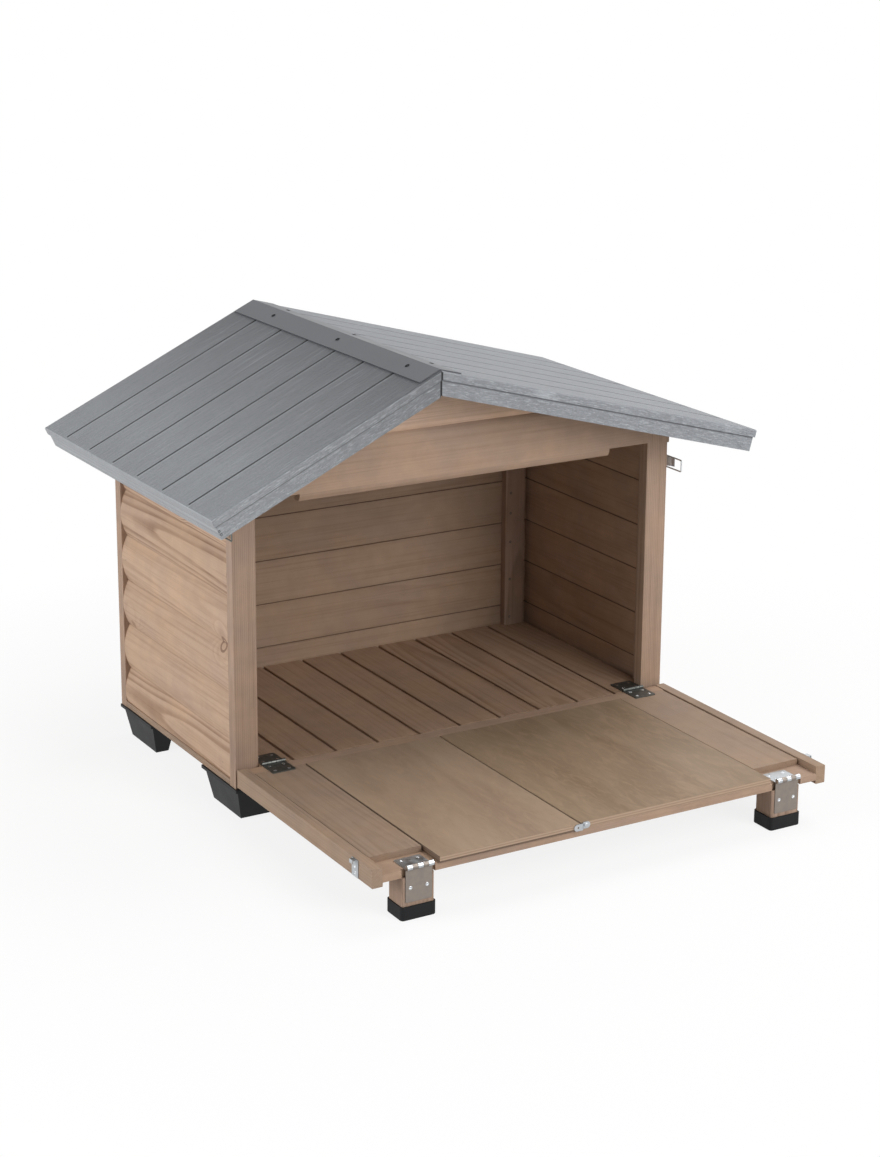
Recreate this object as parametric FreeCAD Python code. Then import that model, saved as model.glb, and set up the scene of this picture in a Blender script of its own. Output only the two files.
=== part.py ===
import FreeCAD, Part
import math
import os

# Wooden dog house with a grey moulded roof and a front wall that folds down into a terrace.
#
# Lengths are millimetres and angles are degrees. While it is drawn, the house stands in its own
# frame: x = 0 is the middle of the body, y = 0 the front face of the corner posts (the terrace
# lies at negative y), z = 0 the underside of the walls. save() then moves every piece to the
# part's frame, whose origin is on the ground under the middle of the whole object.

# ---------------------------------------------------------------- driving dimensions: body
BODY_WIDTH = 1000.0          # over the corner posts
BODY_DEPTH = 550.0           # front face of the front posts to back face of the rear posts
POST_WIDTH = 50.0
POST_THICKNESS = 25.0
FRONT_BATTEN_WIDTH = 14.0    # batten in the inner corner, hidden behind each front post
FRONT_BATTEN_DEPTH = 25.0
REAR_BATTEN_WIDTH = 50.0     # batten on the inside of the back wall
REAR_BATTEN_THICKNESS = 18.0
REAR_BATTEN_GAP = 14.0       # open gap between this batten and the side wall
EDGE_RADIUS = 1.5            # softened edges of the planed timber
PIECE_GAP = 0.5              # assembly gap between timbers that do not bear on each other

LOG_PITCH = 97.0             # height of one log board
LOG_THICKNESS = 21.0
LOG_RELIEF = 13.0            # depth of the valley between two logs
LOG_INNER_CHAMFER = 1.5      # chamfer that marks the joints on the inner face
FIRST_JOINT_HEIGHT = 85.6    # first joint between logs above the underside of the wall
BASE_RAIL_HEIGHT = 13.0      # flat rail under the lowest log

# ---------------------------------------------------------------- driving dimensions: floor
FLOOR_TOP = 42.0             # walking surface above the underside of the wall
SLAT_THICKNESS = 17.0
FLOOR_BOARDS = 10
FLOOR_SIDE_GAP = 6.0         # between the side wall and the middle of the outermost gap
SLAT_GAP = 6.0
FLOOR_NOSE = 8.0             # the floor stands in front of the posts
BEARER_DEPTH = 40.0

# ---------------------------------------------------------------- driving dimensions: gable
GABLE_COURSES = 6            # log courses from the first joint up to the joint in the gable
HEADER_HEIGHT = 110.6        # header board, lower edge up to the joint in the gable
HEADER_NOTCH_DEPTH = 15.0    # the header is cut back over the folded legs
HEADER_NOTCH_MARGIN = 20.0   # the notch starts this far inside the leg
GABLE_EDGE_DROP = 5.0        # rounding depth of the board edges on the gable
GABLE_EDGE_HEIGHT = 14.0     # rounding height of the board edges on the gable

# ---------------------------------------------------------------- driving dimensions: roof
RIDGE_X = -124.0             # the ridge is left of the middle
RIDGE_RISE = 144.9           # top of the panels at the ridge above the joint in the gable
LEFT_SLOPE_ANGLE = 24.84     # pitch of the short left slope
RIGHT_SLOPE_ANGLE = 15.27    # pitch of the long right slope
LEFT_EAVE_OVERHANG = 105.9   # left eave outside the posts
RIGHT_EAVE_OVERHANG = 122.3
ROOF_FRONT_OVERHANG = 138.0  # front verge in front of the posts
ROOF_BACK_OVERHANG = 114.0   # rear verge behind the rear posts
ROOF_SKIN = 5.0              # wall of the moulding
ROOF_EDGE_BAND = 16.0        # height of the thick rolled edge
ROOF_EDGE_STEP = 3.0         # the skirt is set back from the edge band
ROOF_SKIRT_DEPTH = 46.0      # edge band and skirt together, square to the slope
ROOF_SKIRT_WALL = 4.0
ROOF_EDGE_RADIUS = 3.0
ROOF_RIDGE_LAP = 46.0        # each panel is drawn past the ridge, then cut at the seam
ROOF_RIDGE_GAP = 1.0         # seam between the two panels
ROOF_GROOVES = 6             # grooves that part the moulded planks
FRONT_GROOVE_LEAD = 29.5     # first groove in front of the posts
BACK_GROOVE_LAG = 5.5        # last groove behind the rear posts
ROOF_GROOVE_WIDTH = 6.0
ROOF_GROOVE_DEPTH = 3.0
ROOF_GROOVE_MARGIN = 6.0     # the grooves end short of the eave
RIB_WIDTH = 8.0              # stiffening rib behind each groove
RIB_DEPTH = 9.0
RIB_END_GAP = 12.0           # ribs stop short of the side walls
CAP_WING = 48.0              # ridge cap, width of each wing
CAP_THICKNESS = 2.5
CAP_END_MARGIN = 8.0
CLEAT_THICKNESS = 22.0       # eave cleat on the outside of each side wall
CLEAT_DROP = 71.0            # height of the cleat below the roof skin

# ---------------------------------------------------------------- driving dimensions: feet
GROUND_CLEARANCE = 67.0      # underside of the walls above the ground
FOOT_LENGTH = 158.0          # flange along the side wall
FOOT_WIDTH = 125.0           # flange along the front or back
FOOT_ARM = 64.0              # width of each arm of the L
FOOT_FLANGE = 6.0
FOOT_SETBACK = 6.0           # body of the foot inside its flange
FOOT_TAPER = 12.0            # the body narrows by this much towards the ground
FOOT_OVERHANG = 3.0          # the flange stands out past the sides of the posts
REAR_FOOT_INSET = 0.5        # the rear feet end this far inside the back of the rear posts

# ---------------------------------------------------------------- driving dimensions: terrace
PANEL_OVERLAP = 23.5         # the closed front stands this far in front of the header
TRIM_OVERHANG = 2.0          # the side trims stand outside the posts
HINGE_LINE = 10.0            # hinge axis in front of the posts
PANEL_BACK_GAP = 2.0         # back edge of the terrace in front of the hinge axis
TRIM_WIDTH = 22.0
TRIM_HEIGHT = 36.0
TRIM_RISE = 2.0              # the trims stand above the boards
PANEL_BOARD = 12.0           # thickness of the boards
RAIL_HEIGHT = 15.0
HINGE_RAIL_STRIP = 28.0      # visible strip of the hinge rail
HINGE_RAIL_LEDGE = 22.0      # rebate that carries the boards
OUTER_RAIL_DEPTH = 70.0
STILE_END_SETBACK = 55.0     # the stile boards end short of the outer face
STILE_INSET = 130.0          # seam of the stile board inside the outer face of the post
SEAM_DOOR = -67.0            # seam between door board and centre board
SEAM_GAP = 3.0               # gap round the loose door board
TIGHT_SEAM = 0.6             # seam between fixed boards
TRIM_SEAM = 2.0              # open seam between a side trim and the stile board beside it
DOOR_OVERHANG = 5.0          # the door board stands out past the fixed boards

# ---------------------------------------------------------------- driving dimensions: legs
LEG_INSET = 92.0             # middle of the leg inside the outer face of the post
LEG_WIDTH = 66.0
LEG_DEPTH = 50.0
LEG_TOP_GAP = 0.5            # leg top under the outer rail
LEG_EDGE_RADIUS = 4.0        # the legs are rounder than the boards
LEG_CAP_WALL = 3.0
LEG_CAP_HEIGHT = 26.0
LEG_CAP_FLOOR = 5.0
LEG_RECESS_CLEARANCE = 1.5   # recess in the outer rail, wider than the leg at each side
LEG_RECESS_DEPTH = 6.0

# ---------------------------------------------------------------- driving dimensions: hinges
LEAF_THICKNESS = 2.0
KNUCKLE_RADIUS = 3.5
HINGE_PIN_RADIUS = 2.0
LEG_KNUCKLE_RADIUS = 5.0     # the leg hinges are the heavier ones
LEG_PIN_RADIUS = 3.0
PIN_CLEARANCE = 0.05         # radial running clearance of every pin
KNUCKLE_GAP = 0.6            # gap between neighbouring knuckles and round them
KNUCKLES = 5
LEAF_LENGTH = 48.0           # axis to the free edge of a leaf
HOUSE_HINGE_WIDTH = 50.0
HOUSE_HINGE_INSET = 77.0     # middle of the hinge inside the outer face of the post
LEG_HINGE_WIDTH = 54.0
LEG_LEAF_LENGTH = 68.0       # leaf that runs down the front of the leg
LEAF_CORNER_RADIUS = 3.0
SCREW_HOLE_RADIUS = 2.4
SCREW_HOLE_EDGE = 10.0       # hole centre from the edges of the leaf
LEG_SCREW_DROP = 41.0        # screw line on the leg leaf below the axis

# ---------------------------------------------------------------- driving dimensions: latches
CATCH_FROM_END = 59.0        # catch centre behind the outer face of the terrace
CATCH_WIDTH = 23.0
CATCH_HEIGHT = 34.0
CATCH_SCREW_DROPS = (15.3, 27.2)     # screw holes below the top of the catch
SHEET = 1.5                  # sheet metal of catches and latches
SHEET_BEND_RADIUS = 1.35     # outside radius of the folded hook
CATCH_HOOK_WIDTH = 12.0
CATCH_HOOK_REACH = 8.0
CATCH_HOOK_LIP = 7.0
LATCH_PIN_Y = 40.0           # lever pin behind the front face of the posts
LATCH_PIN_STANDOFF = 8.0     # lever pin outside the wall
LATCH_PIN_RADIUS = 2.0
LATCH_BASE_LENGTH = 44.0
LATCH_BASE_HEIGHT = 26.0
LATCH_SCREW_LINES = (19.8, 30.8)     # screw holes behind the lever pin
LATCH_EAR_INSIDE = 6.5       # half the distance between the ears
LATCH_EAR_RADIUS = 3.5
LATCH_EAR_FOOT = 12.0        # the ear leans back over this length
LATCH_EAR_NOSE = 2.8         # start of the leaning edge in front of the lever pin
LUG_CLEARANCE = 0.5          # between ears, lever lugs and bail arms
LEVER_THROW = 9.0            # lever pin to bail pin
LEVER_OVER_CENTRE = 8.0      # angle of the bail pin past the dead point when closed
LEVER_OPEN_ANGLE = 35.0      # lever from straight forward, swung out
LEVER_LENGTH = 38.0
LEVER_WEB_OFFSET = 4.5       # web outside the pin
LEVER_TIP = 8.0              # finger tab
LEVER_TIP_ANGLE = 20.0
WIRE_RADIUS = 1.5            # wire of the bail

# ---------------------------------------------------------------- driving dimensions: swivel plate
SWIVEL_LENGTH = 38.0
SWIVEL_WIDTH = 13.0
SWIVEL_THICKNESS = 2.0
SWIVEL_HOLE_INSET = 8.5      # screw and second hole from the ends of the plate
SWIVEL_FROM_SEAM = 12.5      # screw beside the seam between door board and centre board
SWIVEL_JOGGLE_START = 6.0    # the plate steps up this far from its screw
SWIVEL_JOGGLE_LENGTH = 5.0
SWIVEL_SCREW_RADIUS = 2.0
SWIVEL_SCREW_DEPTH = 20.0    # shank inside the centre board
SWIVEL_HEAD_RADIUS = 4.5
SWIVEL_HEAD_HEIGHT = 1.8
SWIVEL_HOLE_RADIUS = 1.8

# ---------------------------------------------------------------- worked out from the above
HALF_BODY = BODY_WIDTH / 2
GABLE_JOINT = FIRST_JOINT_HEIGHT + GABLE_COURSES * LOG_PITCH
HEADER_BOTTOM = GABLE_JOINT - HEADER_HEIGHT
HEADER_NOTCH_HEIGHT = HEADER_BOTTOM + HEADER_NOTCH_DEPTH
RIDGE_HEIGHT = GABLE_JOINT + RIDGE_RISE
POST_INNER = HALF_BODY - POST_WIDTH
WALL_INNER = HALF_BODY - LOG_THICKNESS
WALL_FRONT = POST_THICKNESS
WALL_BACK = BODY_DEPTH - POST_THICKNESS
BACK_WALL_INNER = WALL_BACK - LOG_THICKNESS
BEARER_TOP = FLOOR_TOP - SLAT_THICKNESS
SLAT_PITCH = 2 * (WALL_INNER - FLOOR_SIDE_GAP) / FLOOR_BOARDS

HOUSE_AXIS_Z = FLOOR_TOP + KNUCKLE_RADIUS
TERRACE_REACH = HEADER_BOTTOM + PANEL_OVERLAP - HOUSE_AXIS_Z + HINGE_LINE
BOARD_TOP = FLOOR_TOP
BOARD_BOTTOM = BOARD_TOP - PANEL_BOARD
RAIL_BOTTOM = BOARD_BOTTOM - RAIL_HEIGHT
OUTER_FACE = -TERRACE_REACH
PANEL_BACK = -HINGE_LINE - PANEL_BACK_GAP
HALF_TERRACE = HALF_BODY + TRIM_OVERHANG
TRIM_INNER = HALF_TERRACE - TRIM_WIDTH
SEAM_STILE = HALF_BODY - STILE_INSET
HOUSE_HINGE_CENTRE = HALF_BODY - HOUSE_HINGE_INSET
LEG_CENTRE = HALF_BODY - LEG_INSET
HEADER_NOTCH_START = LEG_CENTRE - LEG_WIDTH / 2 - HEADER_NOTCH_MARGIN
LEG_AXIS_Y = OUTER_FACE - LEG_KNUCKLE_RADIUS
LEG_AXIS_Z = BOARD_BOTTOM + LEG_KNUCKLE_RADIUS
LEG_TOP = RAIL_BOTTOM - LEG_TOP_GAP
CATCH_Y = OUTER_FACE + CATCH_FROM_END
CATCH_TOP = BOARD_TOP + TRIM_RISE - PIECE_GAP
LATCH_HEIGHT = HOUSE_AXIS_Z - HINGE_LINE - CATCH_Y

ROOF_FRONT = -ROOF_FRONT_OVERHANG
ROOF_BACK = BODY_DEPTH + ROOF_BACK_OVERHANG
LEFT_EAVE_X = -HALF_BODY - LEFT_EAVE_OVERHANG
RIGHT_EAVE_X = HALF_BODY + RIGHT_EAVE_OVERHANG
FRONT_REACH = LEG_AXIS_Y - LEG_KNUCKLE_RADIUS

ORIGIN_X = (LEFT_EAVE_X + RIGHT_EAVE_X) / 2
ORIGIN_Y = (FRONT_REACH + ROOF_BACK) / 2
TO_PART_FRAME = FreeCAD.Vector(-ORIGIN_X, -ORIGIN_Y, GROUND_CLEARANCE)

X_AXIS = FreeCAD.Vector(1, 0, 0)
Y_AXIS = FreeCAD.Vector(0, 1, 0)
Z_AXIS = FreeCAD.Vector(0, 0, 1)
ORIGIN = FreeCAD.Vector(0, 0, 0)
RIGHT_ANGLE = 90.0
FAR = 2 * BODY_WIDTH         # longer than anything it has to cut
PARALLEL = 0.999             # cosine above which two directions count as the same


# ---------------------------------------------------------------- small tools
def vec(x, y, z):
    return FreeCAD.Vector(x, y, z)


def box(x0, x1, y0, y1, z0, z1):
    """A block between two corners."""
    return Part.makeBox(x1 - x0, y1 - y0, z1 - z0, vec(x0, y0, z0))


def mirror_x(shape):
    """The piece on the other side of the house."""
    return shape.mirror(ORIGIN, X_AXIS)


def planed(shape, radius, direction):
    """Round the edges of a timber that run along one direction."""
    edges = []
    for edge in shape.Edges:
        if not isinstance(edge.Curve, Part.Line):
            continue
        along = edge.Curve.Direction
        if abs(along.dot(direction)) > PARALLEL:
            edges.append(edge)
    return shape.makeFillet(radius, edges)


def board(x0, x1, y0, y1, z0, z1, grain):
    """A planed board with its long edges, those along the grain, rounded."""
    return planed(box(x0, x1, y0, y1, z0, z1), EDGE_RADIUS, grain)


def prism(points, direction):
    """Extrude a closed outline of points."""
    return Part.Face(Part.makePolygon(points + [points[0]])).extrude(direction)


def pin(centre, direction, radius, length):
    """A round pin centred on a point."""
    start = centre - direction * (length / 2)
    return Part.makeCylinder(radius, length, start, direction)


def save(name, shapes):
    """Write the solids of one sub-part, moved to the part's frame."""
    if not isinstance(shapes, list):
        shapes = [shapes]
    solids = []
    for shape in shapes:
        solids.extend(shape.Solids)
    compound = Part.makeCompound(solids)
    compound.translate(TO_PART_FRAME)
    compound.exportStep(os.path.join("parts", name + ".step"))


def save_pair(name, left_shapes):
    """Write a left piece and its mirror image as the right piece."""
    save(name + "_left", left_shapes)
    save(name + "_right", [mirror_x(shape) for shape in left_shapes])


# ---------------------------------------------------------------- roof geometry
class Slope:
    """One roof slope: maps distance down the slope and height square to it into the house."""

    def __init__(self, side, pitch, eave_x):
        self.side = side
        self.pitch = math.radians(pitch)
        self.length = abs(eave_x - RIDGE_X) / math.cos(self.pitch)
        self.down = vec(side * math.cos(self.pitch), 0, -math.sin(self.pitch))
        self.out = vec(side * math.sin(self.pitch), 0, math.cos(self.pitch))
        self.ridge = vec(RIDGE_X, 0, RIDGE_HEIGHT)

    def point(self, distance, y, height):
        return self.ridge + self.down * distance + self.out * height + Y_AXIS * y

    def block(self, s0, s1, y0, y1, h0, h1):
        """A block between two distances down the slope and two heights square to it."""
        outline = [
            self.point(s0, y0, h0),
            self.point(s1, y0, h0),
            self.point(s1, y0, h1),
            self.point(s0, y0, h1),
        ]
        return prism(outline, Y_AXIS * (y1 - y0))

    def distance_at(self, x):
        """Distance down the slope where the top surface stands over x."""
        return abs(x - RIDGE_X) / math.cos(self.pitch)

    def underside_at(self, x):
        """Height of the underside of the skin over x."""
        drop = abs(x - RIDGE_X) * math.tan(self.pitch)
        return RIDGE_HEIGHT - drop - ROOF_SKIN / math.cos(self.pitch)


LEFT = Slope(-1, LEFT_SLOPE_ANGLE, LEFT_EAVE_X)
RIGHT = Slope(1, RIGHT_SLOPE_ANGLE, RIGHT_EAVE_X)


def roof_void():
    """Everything above the underside of the roof skin; walls, posts and gables end there."""
    ridge_height = LEFT.underside_at(RIDGE_X)
    if RIGHT.underside_at(RIDGE_X) < ridge_height:
        ridge_height = RIGHT.underside_at(RIDGE_X)
    outline = [
        vec(-FAR, -FAR, LEFT.underside_at(-FAR)),
        vec(RIDGE_X, -FAR, ridge_height),
        vec(FAR, -FAR, RIGHT.underside_at(FAR)),
        vec(FAR, -FAR, FAR),
        vec(-FAR, -FAR, FAR),
    ]
    return prism(outline, Y_AXIS * (2 * FAR))


ROOF_VOID = roof_void()


# ---------------------------------------------------------------- walls
def log_profile(valley_low):
    """Section of one half-log board: flat inner face at 0, crown at LOG_THICKNESS."""
    valley = LOG_THICKNESS - LOG_RELIEF
    top = valley_low + LOG_PITCH
    inner_low = vec(0, 0, valley_low + LOG_INNER_CHAMFER)
    foot = vec(LOG_INNER_CHAMFER, 0, valley_low)
    outer_low = vec(valley, 0, valley_low)
    crown = vec(LOG_THICKNESS, 0, valley_low + LOG_PITCH / 2)
    outer_high = vec(valley, 0, top)
    head = vec(LOG_INNER_CHAMFER, 0, top)
    inner_high = vec(0, 0, top - LOG_INNER_CHAMFER)
    edges = [
        Part.LineSegment(inner_low, foot).toShape(),
        Part.LineSegment(foot, outer_low).toShape(),
        Part.Arc(outer_low, crown, outer_high).toShape(),
        Part.LineSegment(outer_high, head).toShape(),
        Part.LineSegment(head, inner_high).toShape(),
        Part.LineSegment(inner_high, inner_low).toShape(),
    ]
    return Part.Face(Part.Wire(edges))


def course_heights(highest):
    """Lower joint of every log course up to a height; the lowest course is cut by the base rail."""
    low = FIRST_JOINT_HEIGHT - LOG_PITCH
    heights = []
    while low < highest:
        heights.append(low)
        low += LOG_PITCH
    return heights


def stacked_logs(length, highest):
    """Log boards stacked from the base rail upward, along +Y, inner face at x = 0."""
    above_rail = box(-FAR, FAR, -FAR, FAR, BASE_RAIL_HEIGHT, FAR)
    logs = []
    for low in course_heights(highest):
        log = log_profile(low).extrude(Y_AXIS * length)
        logs.append(log.common(above_rail))
    return logs


def under_roof(shapes):
    """Cut pieces to the roof and drop those that lie wholly above it."""
    kept = []
    for shape in shapes:
        cut = shape.cut(ROOF_VOID)
        if cut.Solids:
            kept.append(cut)
    return kept


def side_wall_logs(slope):
    """The half-log wall on the side of one roof slope, crowns outward."""
    highest = max(LEFT.underside_at(-WALL_INNER), RIGHT.underside_at(WALL_INNER))
    logs = stacked_logs(WALL_BACK - WALL_FRONT, highest)
    for log in logs:
        log.translate(vec(WALL_INNER, WALL_FRONT, 0))
    if slope.side < 0:
        logs = [mirror_x(log) for log in logs]
    return under_roof(logs)


def back_wall_logs():
    """The back wall between the side walls, up into the gable, crowns to the rear."""
    logs = stacked_logs(2 * WALL_INNER, RIDGE_HEIGHT)
    for log in logs:
        log.rotate(ORIGIN, Z_AXIS, RIGHT_ANGLE)
        log.translate(vec(WALL_INNER, BACK_WALL_INNER, 0))
    return under_roof(logs)


def base_rail():
    """Left rail under the side wall."""
    return board(-HALF_BODY, -WALL_INNER, WALL_FRONT, WALL_BACK, 0, BASE_RAIL_HEIGHT, Y_AXIS)


def post(slope, y0):
    """A corner post from the foot to the roof."""
    shape = board(POST_INNER, HALF_BODY, y0, y0 + POST_THICKNESS, 0, RIDGE_HEIGHT, Z_AXIS)
    if slope.side < 0:
        shape = mirror_x(shape)
    return shape.cut(ROOF_VOID)


def inner_batten(slope, x0, x1, y0, y1):
    """A batten that stands on the floor inside a corner of the house."""
    shape = board(x0, x1, y0, y1, FLOOR_TOP, RIDGE_HEIGHT, Z_AXIS)
    if slope.side < 0:
        shape = mirror_x(shape)
    return shape.cut(ROOF_VOID)


def front_batten(slope):
    """The narrow batten in the corner of side wall and front post."""
    return inner_batten(slope, WALL_INNER - FRONT_BATTEN_WIDTH, WALL_INNER,
                        WALL_FRONT, WALL_FRONT + FRONT_BATTEN_DEPTH)


def rear_batten(slope):
    """The wide batten on the back wall, beside the corner."""
    x1 = WALL_INNER - REAR_BATTEN_GAP
    return inner_batten(slope, x1 - REAR_BATTEN_WIDTH, x1,
                        BACK_WALL_INNER - REAR_BATTEN_THICKNESS, BACK_WALL_INNER)


def gable_profile(z0, z1):
    """Section of a gable board: flat back, softly rounded upper and lower outer edges."""
    back = LOG_THICKNESS
    drop = GABLE_EDGE_DROP
    rise = GABLE_EDGE_HEIGHT
    radius = (drop ** 2 + rise ** 2) / (2 * drop)      # arc tangent to the flat front
    half_angle = math.asin(rise / radius) / 2
    mid_y = radius * (1 - math.cos(half_angle))
    mid_z = rise - radius * math.sin(half_angle)
    edges = [
        Part.Arc(vec(0, 0, z0 + rise), vec(0, mid_y, z0 + mid_z), vec(0, drop, z0)).toShape(),
        Part.LineSegment(vec(0, drop, z0), vec(0, back, z0)).toShape(),
        Part.LineSegment(vec(0, back, z0), vec(0, back, z1)).toShape(),
        Part.LineSegment(vec(0, back, z1), vec(0, drop, z1)).toShape(),
        Part.Arc(vec(0, drop, z1), vec(0, mid_y, z1 - mid_z), vec(0, 0, z1 - rise)).toShape(),
        Part.LineSegment(vec(0, 0, z1 - rise), vec(0, 0, z0 + rise)).toShape(),
    ]
    return Part.Face(Part.Wire(edges))


def header_board():
    """Lower gable board, deeper in the middle than over the folded terrace legs."""
    shape = gable_profile(HEADER_BOTTOM, GABLE_JOINT).extrude(X_AXIS * (2 * POST_INNER))
    shape.translate(vec(-POST_INNER, 0, 0))
    for side in (-1, 1):
        x_inner = side * HEADER_NOTCH_START
        x_outer = side * FAR
        notch = box(min(x_inner, x_outer), max(x_inner, x_outer), -FAR, FAR,
                    0, HEADER_NOTCH_HEIGHT)
        shape = shape.cut(notch)
    return shape.cut(ROOF_VOID)


def front_gable_board():
    """Upper gable board, cut to the two slopes."""
    profile = gable_profile(GABLE_JOINT, RIDGE_HEIGHT + LOG_PITCH)
    shape = profile.extrude(X_AXIS * (2 * POST_INNER))
    shape.translate(vec(-POST_INNER, 0, 0))
    return shape.cut(ROOF_VOID)


# ---------------------------------------------------------------- floor and feet
def floor_bearer(y0):
    """Cross bearer between the base rails."""
    half = WALL_INNER
    if y0 < WALL_FRONT:
        half = POST_INNER
    return board(-half, half, y0, y0 + BEARER_DEPTH, 0, BEARER_TOP, X_AXIS)


def floor_slats():
    """Floor boards with open gaps, the outer ones notched round the front posts."""
    posts = []
    for side in (-1, 1):
        x_inner = side * (POST_INNER - PIECE_GAP)
        x_outer = side * (HALF_BODY + PIECE_GAP)
        posts.append(box(min(x_inner, x_outer), max(x_inner, x_outer),
                         -FAR, POST_THICKNESS + PIECE_GAP, 0, FLOOR_TOP + PIECE_GAP))
    slats = []
    for index in range(FLOOR_BOARDS):
        x0 = (index - FLOOR_BOARDS / 2) * SLAT_PITCH + SLAT_GAP / 2
        x1 = x0 + SLAT_PITCH - SLAT_GAP
        slat = board(x0, x1, -FLOOR_NOSE, BACK_WALL_INNER - PIECE_GAP, BEARER_TOP, FLOOR_TOP, Y_AXIS)
        for notch in posts:
            slat = slat.cut(notch)
        slats.append(slat)
    return slats


def corner_outline(inset, z):
    """L-shaped outline of a corner foot, drawn for the corner at the origin, arms along +X and +Y."""
    arm = FOOT_ARM - inset
    return [
        vec(inset, inset, z),
        vec(FOOT_WIDTH - inset, inset, z),
        vec(FOOT_WIDTH - inset, arm, z),
        vec(arm, arm, z),
        vec(arm, FOOT_LENGTH - inset, z),
        vec(inset, FOOT_LENGTH - inset, z),
    ]


def corner_foot():
    """Moulded foot: a flat flange with a body that tapers to the ground."""
    flange = prism(corner_outline(0, -FOOT_FLANGE), Z_AXIS * FOOT_FLANGE)
    flange = planed(flange, EDGE_RADIUS, Z_AXIS)
    upper = corner_outline(FOOT_SETBACK, -FOOT_FLANGE)
    lower = corner_outline(FOOT_SETBACK + FOOT_TAPER, -GROUND_CLEARANCE)
    wires = [Part.makePolygon(outline + [outline[0]]) for outline in (upper, lower)]
    body = Part.makeLoft(wires, True, True)
    foot = flange.fuse(body).removeSplitter()
    foot.translate(vec(-HALF_BODY - FOOT_OVERHANG, -FLOOR_NOSE, 0))
    return foot


# ---------------------------------------------------------------- roof
def groove_rows():
    """Positions of the grooves along the ridge, none of them over a gable wall."""
    first = -FRONT_GROOVE_LEAD
    last = BODY_DEPTH + BACK_GROOVE_LAG
    pitch = (last - first) / (ROOF_GROOVES - 1)
    return [first + index * pitch for index in range(ROOF_GROOVES)]


def v_groove(slope, y):
    """The V between two moulded planks, from the ridge cap to just short of the eave."""
    start_distance = CAP_WING - ROOF_GROOVE_MARGIN
    start = slope.point(start_distance, y, 0)
    half = ROOF_GROOVE_WIDTH / 2
    outline = [
        start - Y_AXIS * half + slope.out * ROOF_GROOVE_DEPTH,
        start - Y_AXIS * half,
        start - slope.out * ROOF_GROOVE_DEPTH,
        start + Y_AXIS * half,
        start + Y_AXIS * half + slope.out * ROOF_GROOVE_DEPTH,
    ]
    return prism(outline, slope.down * (slope.length - ROOF_GROOVE_MARGIN - start_distance))


def stiffening_rib(slope, y):
    """The rib behind a groove; between the walls it stops short of the side wall."""
    end = slope.length - ROOF_EDGE_STEP - ROOF_SKIRT_WALL
    if WALL_FRONT - LOG_THICKNESS < y < BODY_DEPTH:
        end = slope.distance_at(slope.side * WALL_INNER) - RIB_END_GAP
    half = RIB_WIDTH / 2
    return slope.block(CAP_WING, end, y - half, y + half, -ROOF_SKIN - RIB_DEPTH, -ROOF_SKIN)


def rolled_edges(slope, band):
    """The upper edges of the band at the eave and at both verges."""
    rolled = []
    for edge in band.Edges:
        ends = [vertex.Point - slope.ridge for vertex in edge.Vertexes]
        on_top = all(abs(end.dot(slope.out)) < EDGE_RADIUS for end in ends)
        reaches_eave = any(end.dot(slope.down) > 0 for end in ends)
        if on_top and reaches_eave:
            rolled.append(edge)
    return rolled


def roof_panel(slope):
    """A moulded tray: skin, rolled edge band, skirt set back below it, grooves and ribs."""
    start = -ROOF_RIDGE_LAP
    band = slope.block(start, slope.length, ROOF_FRONT, ROOF_BACK, -ROOF_EDGE_BAND, 0)
    band = band.makeFillet(ROOF_EDGE_RADIUS, rolled_edges(slope, band))
    step = ROOF_EDGE_STEP
    wall = ROOF_EDGE_STEP + ROOF_SKIRT_WALL
    skirt = slope.block(start, slope.length - step, ROOF_FRONT + step, ROOF_BACK - step,
                        -ROOF_SKIRT_DEPTH, -ROOF_SKIN)
    hollow = slope.block(2 * start, slope.length - wall, ROOF_FRONT + wall, ROOF_BACK - wall,
                         -2 * ROOF_SKIRT_DEPTH, -ROOF_SKIN)
    panel = band.fuse(skirt).cut(hollow)
    for y in groove_rows():
        panel = panel.cut(v_groove(slope, y))
        panel = panel.fuse(stiffening_rib(slope, y))
    seam = RIDGE_X + slope.side * ROOF_RIDGE_GAP / 2
    other_side = box(min(seam, seam - slope.side * FAR), max(seam, seam - slope.side * FAR),
                     -FAR, FAR, 0, FAR)
    return panel.cut(other_side).removeSplitter()


def cap_outline(y):
    """Section of the ridge cap: an angle that lies on both slopes."""
    mean = (LEFT.pitch + RIGHT.pitch) / 2
    peak = CAP_THICKNESS / math.cos(mean)
    return [
        LEFT.point(0, y, 0),
        LEFT.point(CAP_WING, y, 0),
        LEFT.point(CAP_WING, y, CAP_THICKNESS),
        vec(RIDGE_X, y, RIDGE_HEIGHT + peak),
        RIGHT.point(CAP_WING, y, CAP_THICKNESS),
        RIGHT.point(CAP_WING, y, 0),
    ]


def ridge_cap():
    """Angled strip over the seam of the two panels."""
    y0 = ROOF_FRONT + CAP_END_MARGIN
    return prism(cap_outline(y0), Y_AXIS * (ROOF_BACK - ROOF_FRONT - 2 * CAP_END_MARGIN))


def eave_cleat(slope):
    """Cleat between the side wall and the roof skin, outside the wall."""
    x_inner = slope.side * HALF_BODY
    x_outer = slope.side * (HALF_BODY + CLEAT_THICKNESS)
    low = slope.underside_at(x_outer) - CLEAT_DROP
    shape = board(min(x_inner, x_outer), max(x_inner, x_outer), WALL_FRONT, WALL_BACK,
                  low, RIDGE_HEIGHT, Y_AXIS)
    return shape.cut(ROOF_VOID)


# ---------------------------------------------------------------- terrace, the folding front wall
def panel_trim():
    """Left side trim, hanging lower than the rails."""
    top = BOARD_TOP + TRIM_RISE
    return board(-HALF_TERRACE, -TRIM_INNER, OUTER_FACE, PANEL_BACK, top - TRIM_HEIGHT, top, Y_AXIS)


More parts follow.
